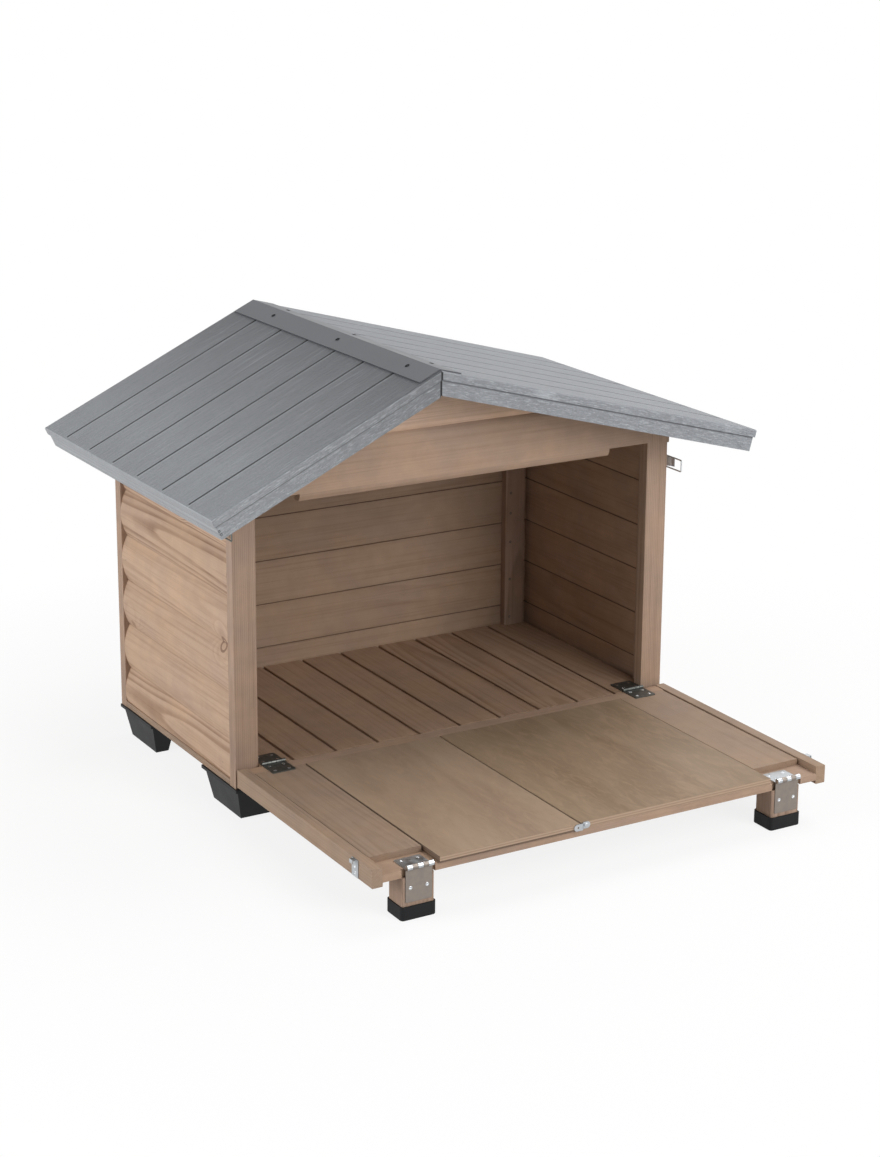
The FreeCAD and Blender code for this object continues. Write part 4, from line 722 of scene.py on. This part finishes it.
def fascia_streaks(tree, on_roof, out, height, fascia):
    """The painted highlight of the fascias, and their pale and dusty streaks."""
    long, thin = STREAK_SCALES
    across = add(tree, "Math", {0: out, 1: long}, operation="MULTIPLY")
    upright_place = add(tree, "Math", {0: height, 1: thin}, operation="MULTIPLY")
    run = add(tree, "CombineXYZ", {0: across, 1: on_roof.axis[1], 2: upright_place})
    streak = add(tree, "TexNoise", {"Vector": run, "Scale": 1.0, "Detail": 2.0, "Distortion": 1.0})
    pale = add(tree, "MapRange", {0: streak, 1: 0.52, 2: 0.72, 4: PALE_SHARE})
    dusty = add(tree, "MapRange", {0: streak, 1: 0.32, 2: 0.48, 3: DUSTY_SHARE, 4: 0.0})
    shares = (FASCIA_HIGHLIGHT_SHARE, pale, dusty)
    return [add(tree, "Math", {0: share, 1: fascia}, operation="MULTIPLY") for share in shares]


print("a fascia streak is", round(1000 / STREAK_SCALES[0]), "mm long")

# %% [markdown]
# The material lays the lines and streaks over the grey one by one, the darkest last. Embossed
# polypropylene has a soft sheen, so the roughness is a little under 0.5, and the grit moves it.
# Each slope gets its own greys, because the photograph shows the steep one dark at the ridge and the
# flat one even; these greys are painted shading on one plastic. The flat one also gets a weaker bump,
# because it is seen at a grazing angle.

# %% Moulded roof plastic
# the paler fascia tone is a painted highlight of the roof's edges
FASCIA_HIGHLIGHT_TONE, PALE_STREAK, DUSTY_STREAK = paint("#C4C7CB"), paint("#C9CDD1"), paint("#5C5E62")
LIP_HIGHLIGHT_TONE, GROOVE_BLACK, STEP_TONE = paint("#B4B8BC"), paint("#1E2023"), paint("#3A3C40")
FASCIA_FACING = 0.6                           # fascias look up or down less than this
RELIEF_DEPTH = 0.002
ROOF_ROUGH = (0.4, 0.54)
ROOF_IOR = 1.49


def embossed_plastic(name, side, high_colour, low_colour, emboss):
    """Roof plastic of one slope, with painted shading: one colour at the ridge, one at the eave."""
    material, tree = start_material(name)
    on_roof = roof_patterns(tree)
    off = add(tree, "Math", {0: on_roof.axis[0], 1: RIDGE_LINE.x}, operation="SUBTRACT")
    out = add(tree, "Math", {0: off, 1: side}, operation="MULTIPLY")
    upward = add(tree, "SeparateXYZ", {0: on_roof.place["Normal"]}).outputs[2]
    steep = add(tree, "Math", {0: upward}, operation="ABSOLUTE")
    fascia = add(tree, "Math", {0: steep, 1: FASCIA_FACING}, operation="LESS_THAN")
    groove, lip_highlight = groove_lines(tree, on_roof, side, out, upward)
    seam_shade, step, height = edge_lines(tree, on_roof, side, out, fascia)
    fascia_highlight, pale, dusty = fascia_streaks(tree, on_roof, out, height, fascia)
    base = roof_top_colour(tree, on_roof, side, out, high_colour, low_colour)
    # painted highlights of the fascias and lips, and painted shade of the grooves, heads, seam and step
    layers = ((fascia_highlight, FASCIA_HIGHLIGHT_TONE), (pale, PALE_STREAK), (dusty, DUSTY_STREAK), (lip_highlight, LIP_HIGHLIGHT_TONE),
              (groove, GROOVE_BLACK), (seam_shade, GROOVE_BLACK), (step, STEP_TONE))
    for share, tone in layers:
        base = add(tree, "Mix", {0: share, 6: base, 7: tone}, data_type="RGBA")
    relief = add(tree, "Math", {0: on_roof.grain, 1: 0.7, 2: on_roof.roll}, operation="MULTIPLY_ADD")
    relief = add(tree, "Math", {0: on_roof.grit, 1: 0.8, 2: relief}, operation="MULTIPLY_ADD")
    bump = add(tree, "Bump", {"Height": relief, "Strength": emboss, "Distance": RELIEF_DEPTH})
    rough = add(tree, "MapRange", {0: on_roof.grit, 1: LOW, 2: HIGH, 3: ROOF_ROUGH[0], 4: ROOF_ROUGH[1]})
    surface = add(tree, "BsdfPrincipled", {"Base Color": base, "Roughness": rough, "Normal": bump,
                                           "IOR": ROOF_IOR})
    add(tree, "OutputMaterial", {"Surface": surface})
    return material


# the two slopes get different greys of one plastic: painted shading
coat(embossed_plastic("embossed_polypropylene_left_painted_shading", -1, "#484A4E", "#7F8286", 0.9), "roof_panel_left")
coat(embossed_plastic("embossed_polypropylene_right_painted_shading", 1, "#6E7176", "#777A7F", 0.6), "roof_panel_right")

# %% [markdown]
# The ridge cap is a strip of the roof's plastic, and smooth enough to show only the grit of the
# mould. The feet are injection-moulded polypropylene, black with a fine spark-eroded texture that
# keeps a soft sheen. The leg caps are rubber: the same black, but duller and with a little dust.
# Three materials could be written out, but all are one recipe: a base and a worn colour in
# patches, a grit in the relief, and a range of roughness.

# %% Moulded plastic and rubber
MOULDED_IOR = 1.5


def moulding(name, colour, worn, patch, grit, depth, rough, specular=0.5):
    """A moulded material; patch, grit and depth are real sizes in millimetres."""
    material, tree = start_material(name)
    place = add(tree, "TexCoord").outputs["Object"]
    patch_scale, grit_scale = per_metre(patch, grit)
    patches = add(tree, "TexNoise", {"Vector": place, "Scale": patch_scale, "Detail": 4.0})
    pitted = add(tree, "TexNoise", {"Vector": place, "Scale": grit_scale, "Detail": 2.0})
    share = add(tree, "MapRange", {0: patches, 1: 0.4, 2: 0.7})
    base = add(tree, "Mix", {0: share, 6: paint(colour), 7: paint(worn)}, data_type="RGBA")
    bump = add(tree, "Bump", {"Height": pitted, "Strength": 0.35, "Distance": depth / 1000})
    shine = add(tree, "MapRange", {0: patches, 1: LOW, 2: HIGH, 3: rough[0], 4: rough[1]})
    surface = add(tree, "BsdfPrincipled", {"Base Color": base, "Roughness": shine, "Normal": bump,
                                           "IOR": MOULDED_IOR, "Specular IOR Level": specular})
    add(tree, "OutputMaterial", {"Surface": surface})
    return material


cap_plastic = moulding("moulded_polypropylene_cap", "#505256", "#595B5F",
                       patch=70, grit=2.1, depth=0.8, rough=(0.4, 0.52))
coat(cap_plastic, "ridge_cap")
foot_plastic = moulding("textured_polypropylene_black", "#0F1012", "#1A1B1D",
                        patch=42, grit=1.2, depth=0.4, rough=(0.5, 0.62), specular=0.3)
coat(foot_plastic, "foot_front_left", "foot_front_right", "foot_rear_left", "foot_rear_right")
cap_rubber = moulding("moulded_rubber_black", "#0C0D0F", "#151618",
                      patch=42, grit=1.5, depth=0.4, rough=(0.65, 0.8), specular=0.3)
coat(cap_rubber, "leg_cap_left", "leg_cap_right")

# %% [markdown]
# Hinges, catches and latches are pressed sheet steel with a bright zinc coat, put on in a bath.
# Bright zinc is a bluish silver, less mirror-like than chrome, with faint cloudy patches where the bath
# ran off, and fine scratches from handling, drawn 0.4 mm wide. A metal shows mostly what it mirrors, so
# one grey with one roughness would look like paint. The clouds vary the roughness, because on metal that
# is what the eye reads as patches. The same recipe is used with several greys and sheens: some for zinc
# that aged differently, some as painted light or shade.

# %% Zinc-plated steel
CLOUD_SCALE = per_metre(14)[0]
SCRATCH_SCALES = per_metre(3.3, 0.4, 0.4)
SCRATCH_DEPTH = 0.0002


def zinc_plated_steel(name, colour, cloudy, low, high):
    """Zinc on pressed steel, with a colour and a roughness of its clear and cloudy patches."""
    material, tree = start_material(name)
    place = add(tree, "TexCoord").outputs["Object"]
    cloud = add(tree, "TexNoise", {"Vector": place, "Scale": CLOUD_SCALE, "Detail": 3.0})
    thin = add(tree, "VectorMath", {0: place, 1: SCRATCH_SCALES}, operation="MULTIPLY")
    scratch = add(tree, "TexNoise", {"Vector": thin, "Scale": 1.0, "Detail": 1.0})
    share = add(tree, "MapRange", {0: cloud, 1: 0.35, 2: 0.65})
    base = add(tree, "Mix", {0: share, 6: paint(colour), 7: paint(cloudy)}, data_type="RGBA")
    rough = add(tree, "MapRange", {0: cloud, 1: 0.35, 2: 0.65, 3: low, 4: high})
    bump = add(tree, "Bump", {"Height": scratch, "Strength": 0.12, "Distance": SCRATCH_DEPTH})
    surface = add(tree, "BsdfPrincipled", {"Base Color": base, "Roughness": rough, "Normal": bump,
                                           "Metallic": 1.0})
    add(tree, "OutputMaterial", {"Surface": surface})
    return material


print("the zinc's scratches are", round(1000 / SCRATCH_SCALES[1], 1), "mm wide")

# %% [markdown]
# The swivel plate, the catches and the leaves on the outer rail are bright. The right latch gets the
# palest zinc of all, a painted light for the light that it catches. The leaves on the legs have gone
# dull and a touch warm. The hinges at the house get a dark zinc as a painted dark reflection of the
# house's inside, and so does the latch under the left eave, as painted shade of the eave.

# %% Zinc for each fitting
zinc = zinc_plated_steel("zinc_plated_sheet_steel", "#C2C5C8", "#AFB3B6", 0.28, 0.44)
coat(zinc, "swivel_plate", "swivel_screw", "rail_hinge_left", "rail_hinge_right", "catch_left",
     "catch_right")
# the right latch's pale zinc is painted light
latch_zinc_painted_light = zinc_plated_steel("zinc_plated_latch_steel_painted_light", "#E0E3E5", "#CDD0D3", 0.42, 0.56)
coat(latch_zinc_painted_light, "latch_base_right", "latch_lever_right", "latch_bail_right")
dull_zinc = zinc_plated_steel("passivated_zinc_steel", "#8E857C", "#88807A", 0.52, 0.62)
coat(dull_zinc, "leg_hinge_left", "leg_hinge_right")
# dark zinc: painted shade under the left eave, and a painted dark reflection of the inside at the
# house's hinges
zinc_in_painted_shade = zinc_plated_steel("zinc_sheet_steel_painted_shade", "#6E706D", "#5B5D5A", 0.4, 0.55)
coat(zinc_in_painted_shade, "house_hinge_left", "house_hinge_right", "panel_hinge_left", "panel_hinge_right",
     "latch_base_left", "latch_lever_left", "latch_bail_left")

# %% [markdown]
# Screws are zinc plated too, but in a turning drum, and come out more polished than the sheet.
# A few are not bright: those in the wood and in the verge went dull, and the ones of the ridge
# cap are blackened, so that they look like holes from afar.

# %% Metals of the screws
bright_zinc = zinc_plated_steel("zinc_plated_screw_steel", "#D6D9DB", "#BFC2C5", 0.2, 0.34)
dull_steel = zinc_plated_steel("darkened_zinc_steel", "#6E7072", "#5A5C5E", 0.42, 0.6)
black_steel = zinc_plated_steel("black_oxide_steel", "#26272A", "#1C1D1F", 0.5, 0.62)
print("screw metals:", bright_zinc.name, dull_steel.name, black_steel.name)

# %% [markdown]
# A wood screw head is a shallow cone let into its hole, domed a little, with a cross pressed
# into it for the driver. A flat disc would read as a dot even from far away, so the head is
# turned in rings like on a lathe, and the points that fall inside the cross are pushed down.

# %% One screw head
HEAD_RINGS = (1.0, 0.92, 0.78, 0.6, 0.46, 0.3, 0.16)   # shares of the head's radius
HEAD_STEPS = 24
RIM_DEPTH = 0.6                               # how far the rim goes down, in heights of the dome
CROSS_ARM = 0.14                              # half the width of the cross, of the head's radius
CROSS_REACH = 0.62
CROSS_DEPTH = 0.3


def add_head(mesh, centre, outward, radius, dome, turn):
    """Add one domed head with a driver cross to a bmesh; sizes in metres."""
    outward = outward.normalized()
    side = outward.orthogonal().normalized()
    other = outward.cross(side)
    levels = [(1.0, -dome * RIM_DEPTH)] + [(share, dome * (1 - share ** 2)) for share in HEAD_RINGS]
    rows = []
    for share, height in levels:
        row = []
        for step in range(HEAD_STEPS):
            angle = 2 * math.pi * step / HEAD_STEPS
            off_arm = share * min(abs(math.cos(angle)), abs(math.sin(angle)))
            in_cross = off_arm < CROSS_ARM and share < CROSS_REACH
            level = height - radius * CROSS_DEPTH if in_cross else height
            direction = side * math.cos(angle + turn) + other * math.sin(angle + turn)
            row.append(mesh.verts.new(centre + direction * radius * share + outward * level))
        rows.append(row)
    for outer, inner in zip(rows, rows[1:]):
        for step in range(HEAD_STEPS):
            following = (step + 1) % HEAD_STEPS
            mesh.faces.new((outer[step], outer[following], inner[following], inner[step]))
    mesh.faces.new(rows[-1])


print("a head has", HEAD_STEPS * len(HEAD_RINGS) + 1, "faces")

# %% [markdown]
# Each head could be an object of its own, but the heads on one body never move against each
# other. So one mesh holds all the heads of one kind, and rides on its body. Nobody lines up the
# crosses by hand, so each is turned by a random angle.

# %% Screws of one kind
QUARTER_TURN = math.pi / 2                    # a cross looks the same after this


def screws(name, body, places, radius=0.0036, dome=0.0007, metal=bright_zinc):
    """One piece with a screw head at every (point, outward direction)."""
    mesh = bmesh.new()
    for point, outward in places:
        add_head(mesh, point, Vector(outward), radius, dome, random.uniform(0, QUARTER_TURN))
    data = bpy.data.meshes.new(name)
    mesh.to_mesh(data)
    mesh.free()
    for polygon in data.polygons:
        polygon.use_smooth = True
    data.materials.append(metal)
    piece = bpy.data.objects.new(name, data)
    bpy.context.scene.collection.objects.link(piece)
    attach(piece, body)
    print(name, "has", len(places), "heads")


print("crosses are turned by up to", round(math.degrees(QUARTER_TURN)), "degrees")

# %% [markdown]
# Every hinge leaf has its screws in the countersunk holes that the CAD model already bores. The
# holes could be searched for in the mesh, but the drawing's numbers are simpler to read: two
# columns along the pin, and two lines away from it. The leaves on the legs have one line only.

# %% Screws of the hinges
HINGE_X, HINGE_AXIS_Y, HINGE_AXIS_Z = 423, -10.0, 45.5
LEG_X, LEG_AXIS_Y, LEG_AXIS_Z = 408, -550.0, 35.0
HINGE_COLUMNS, HINGE_LINES = (-15, 15), (13.5, 38.0)
LEG_COLUMNS, LEG_LINES = (-17, 17), (15.0, 38.0)
LEAF_TOP, LEG_LEAF_TOP = 1.5, 3.0             # leaf surface below the pin's axis
LEG_FACE, LEG_SCREW_DROP = -547, 41           # front of the leaf on the leg, and below its pin
UP, FORWARD = Vector((0, 0, 1)), Vector((0, -1, 0))

floor_side, terrace_side, rail_side = [], [], []
for side in (-1, 1):
    for column in HINGE_COLUMNS:
        for line in HINGE_LINES:
            x = side * HINGE_X + column
            floor_side.append((at(x, HINGE_AXIS_Y + line, HINGE_AXIS_Z - LEAF_TOP), UP))
            terrace_side.append((at(x, HINGE_AXIS_Y - line, HINGE_AXIS_Z - LEAF_TOP), UP))
    for column in LEG_COLUMNS:
        for line in LEG_LINES:
            x = side * LEG_X + column
            rail_side.append((at(x, LEG_AXIS_Y + line, LEG_AXIS_Z - LEG_LEAF_TOP), UP))
screws("floor_hinge_screws", "house", floor_side)
screws("terrace_hinge_screws", "front_panel", terrace_side)
screws("rail_hinge_screws", "front_panel", rail_side)
for name, side in (("left", -1), ("right", 1)):
    leg_side = []
    for column in LEG_COLUMNS:
        leg_side.append((at(side * LEG_X + column, LEG_FACE, LEG_AXIS_Z - LEG_SCREW_DROP), FORWARD))
    screws("leg_hinge_screws_" + name, "leg_" + name, leg_side)

# %% [markdown]
# Catches and latch plates are held by two screws each. They could have the heads of the hinges,
# but the bail and the lever need room, so these heads are smaller.

# %% Screws of the catches and latches
CATCH_FACE, CATCH_Y, CATCH_TOP = 503.5, -486, 43.5
CATCH_SCREW_DROPS = (15.3, 27.2)              # below the top of the catch
LATCH_FACE, LATCH_PIN_Y, LATCH_Z = 501.5, 40, 521.5
LATCH_SCREW_LINES = (19.8, 30.8)              # behind the lever's pin
SMALL_HEAD = {"radius": 0.0034, "dome": 0.0006}

catch_places, latch_places = [], []
for side in (-1, 1):
    outward = Vector((side, 0, 0))
    for drop in CATCH_SCREW_DROPS:
        catch_places.append((at(side * CATCH_FACE, CATCH_Y, CATCH_TOP - drop), outward))
    for behind in LATCH_SCREW_LINES:
        latch_places.append((at(side * LATCH_FACE, LATCH_PIN_Y + behind, LATCH_Z), outward))
screws("catch_screws", "front_panel", catch_places, **SMALL_HEAD)
screws("latch_screws", "house", latch_places, **SMALL_HEAD)

# %% [markdown]
# The ridge cap is screwed down three times on each slope. A roof is easiest to measure along its
# slope, so a helper turns a distance down from the ridge and a height square to the slope into a
# point of the frame.

# %% Screws of the ridge cap
CAP_SCREWS = {-1: ((520, 21), (239, 20), (-40, 20)),   # y, and down from the ridge
              1: ((550, 30), (259, 30), (-48, 30))}
CAP_FACE = 3.2                                # outside of the cap above the slope


def on_slope(side, down, y, above):
    """A point on a roof slope: distance down from the ridge and height square to it, in mm."""
    pitch = SLOPES[side]
    x = side * (down * math.cos(pitch) + above * math.sin(pitch))
    z = above * math.cos(pitch) - down * math.sin(pitch)
    return RIDGE_LINE + Vector((x, y, z)) / 1000


cap_places = []
for side, rows in CAP_SCREWS.items():
    outward = Vector((side * math.sin(SLOPES[side]), 0, math.cos(SLOPES[side])))
    for y, down in rows:
        cap_places.append((on_slope(side, down, y, CAP_FACE), outward))
screws("cap_screws", "house", cap_places, radius=0.0046, dome=0.0005, metal=black_steel)

# %% [markdown]
# At the steep side's lower corners the verge is held by two small screws, in front and behind.
# They follow the slope and not the house, so the same helper places them.

# %% Screws of the verge
VERGES = ((-135, FORWARD), (661, -FORWARD))   # y of the skirt's faces
SLOPE_LENGTH = 531                            # of the steep side, in mm
VERGE_SCREWS = ((6, -28), (7, -36))           # before the slope's end, and height square to it

verge_places = []
for y, outward in VERGES:
    for before_end, low in VERGE_SCREWS:
        verge_places.append((on_slope(-1, SLOPE_LENGTH - before_end, y, low), outward))
screws("verge_screws", "house", verge_places, radius=0.0026, dome=0.0004, metal=dull_steel)

# %% [markdown]
# Inside, the battens in the rear corners are screwed to the back wall, one screw per log and two
# in the fourth. Outside, the side walls show a screw at the front of the lowest log and two near
# the back. The stain has filled their heads, so they show as small dark dots. Dots of
# colour in the wood would look the same from here, but real heads hold up when seen from close.

# %% Screws of the timber
BATTEN_X, BATTEN_FACE = 428, 486
BATTEN_HEIGHTS = (61, 150, 238, 305, 352, 449, 546)
WALL_FACE = 499.8
WALL_SCREWS = ((56, 37), (505, 329), (505, 37))        # y and z

batten_places, wall_places = [], []
for side in (-1, 1):
    for z in BATTEN_HEIGHTS:
        batten_places.append((at(side * BATTEN_X, BATTEN_FACE, z), FORWARD))
    for y, z in WALL_SCREWS:
        wall_places.append((at(side * WALL_FACE, y, z), Vector((side, 0, 0))))
screws("batten_screws", "house", batten_places, radius=0.0028, dome=0.0003, metal=dull_steel)
screws("wall_screws", "house", wall_places, radius=0.0024, dome=0.0003, metal=dull_steel)

# %% [markdown]
# The studio is a white floor and a white world. A floor bright enough to look white would light
# the house from below, so its white is one that only the camera and mirrors see: Light Path tells
# those rays from the ones that light the object. It stays a real floor too and keeps a share of
# its own light, and with it the shadow of the house. Farther out that share fades, so that no
# edge shows.

# %% Floor
FLOOR_REACH = 60.0                            # metres to each side
SHADOW_KEPT = 0.16                            # share of the floor's own light, so of the shadow
FADE_FROM, FADE_TO = 0.8, 1.6                 # metres from the middle where it fades out
ONLY_SEEN = ("Is Camera Ray", "Is Glossy Ray", "Is Transmission Ray")


def seen_rays(tree):
    """One for rays that end in the picture, zero for rays that light something."""
    rays = add(tree, "LightPath").outputs
    seen = rays[ONLY_SEEN[0]]
    for name in ONLY_SEEN[1:]:
        seen = add(tree, "Math", {0: seen, 1: rays[name]}, operation="MAXIMUM")
    return seen


floor_mesh = bpy.data.meshes.new("studio_floor")
corners = [(-FLOOR_REACH, -FLOOR_REACH, 0), (FLOOR_REACH, -FLOOR_REACH, 0),
           (FLOOR_REACH, FLOOR_REACH, 0), (-FLOOR_REACH, FLOOR_REACH, 0)]
floor_mesh.from_pydata(corners, [], [(0, 1, 2, 3)])
floor = bpy.data.objects.new("studio_floor", floor_mesh)
bpy.context.scene.collection.objects.link(floor)
floor_paint, tree = start_material("matt_white_floor")
matt = add(tree, "BsdfDiffuse", {"Color": paint("#F0F0F0"), "Roughness": 0.5})
white = add(tree, "Emission", {"Color": (1, 1, 1, 1), "Strength": 1.0})
place = add(tree, "TexCoord").outputs["Object"]
away = add(tree, "VectorMath", {0: place}, operation="LENGTH").outputs["Value"]
fade = add(tree, "MapRange", {0: away, 1: FADE_FROM, 2: FADE_TO, 3: 1 - SHADOW_KEPT})
cover = add(tree, "Math", {0: fade, 1: seen_rays(tree)}, operation="MULTIPLY")
add(tree, "OutputMaterial", {"Surface": add(tree, "MixShader", {0: cover, 1: matt, 2: white})})
floor_mesh.materials.append(floor_paint)
print("the floor measures", 2 * FLOOR_REACH, "m")

# %% [markdown]
# The world gives the object a weak even light, so that no shade is black, and looks white where
# it is seen. A painted studio would mirror more finely in polished things, but around matt timber
# and plastic one plain white is enough.

# %% World
WORLD_LIGHT = 0.17

world = bpy.data.worlds.new("studio")
bpy.context.scene.world = world
world.use_nodes = True
world.node_tree.nodes.clear()
tree = world.node_tree
strength = add(tree, "MapRange", {0: seen_rays(tree), 3: WORLD_LIGHT})
sky = add(tree, "Background", {"Color": (1, 1, 1, 1), "Strength": strength})
add(tree, "OutputWorld", {"Surface": sky})
print("world light", WORLD_LIGHT)

# %% [markdown]
# The right slope is the brightest side of the roof and the left wall is brighter than the front,
# so a big lamp stands high on the right, and another one to the left. A third stands low in
# front, a little to the right: it opens the inside of the house, but leaves the right wall in
# the dark. A weak high one lifts the terrace. Small lamps or a sun would draw hard shadows that
# the photograph lacks, so all four are square panels of about 2 m.

# %% Lamps
LAMPS_TARGET = Vector((0, 0, 0.4))


def lamp(name, place, size, power):
    """A square lamp that looks at the house; size in metres and power in watts."""
    data = bpy.data.lights.new(name, "AREA")
    data.shape = "SQUARE"
    data.size = size
    data.energy = power
    light = bpy.data.objects.new(name, data)
    bpy.context.scene.collection.objects.link(light)
    light.location = place
    light.rotation_mode = "QUATERNION"
    light.rotation_quaternion = (LAMPS_TARGET - Vector(place)).to_track_quat("-Z", "Y")
    print(name, power, "W")


lamp("key_high_right", (2.2, 0.6, 3.8), size=2.2, power=100)
lamp("side_left", (-3.8, 0.4, 1.4), size=2.2, power=84)
lamp("front_right", (1.4, -4.0, 1.9), size=2.0, power=84)
lamp("front_high", (0.2, -3.2, 3.4), size=1.8, power=42)

# %% [markdown]
# Blender can bend the picture's brightness like film does. A photograph on white has to keep its
# white, so the plain standard view is used.

# %% View
bpy.context.scene.view_settings.view_transform = "Standard"
print("view transform:", bpy.context.scene.view_settings.view_transform)
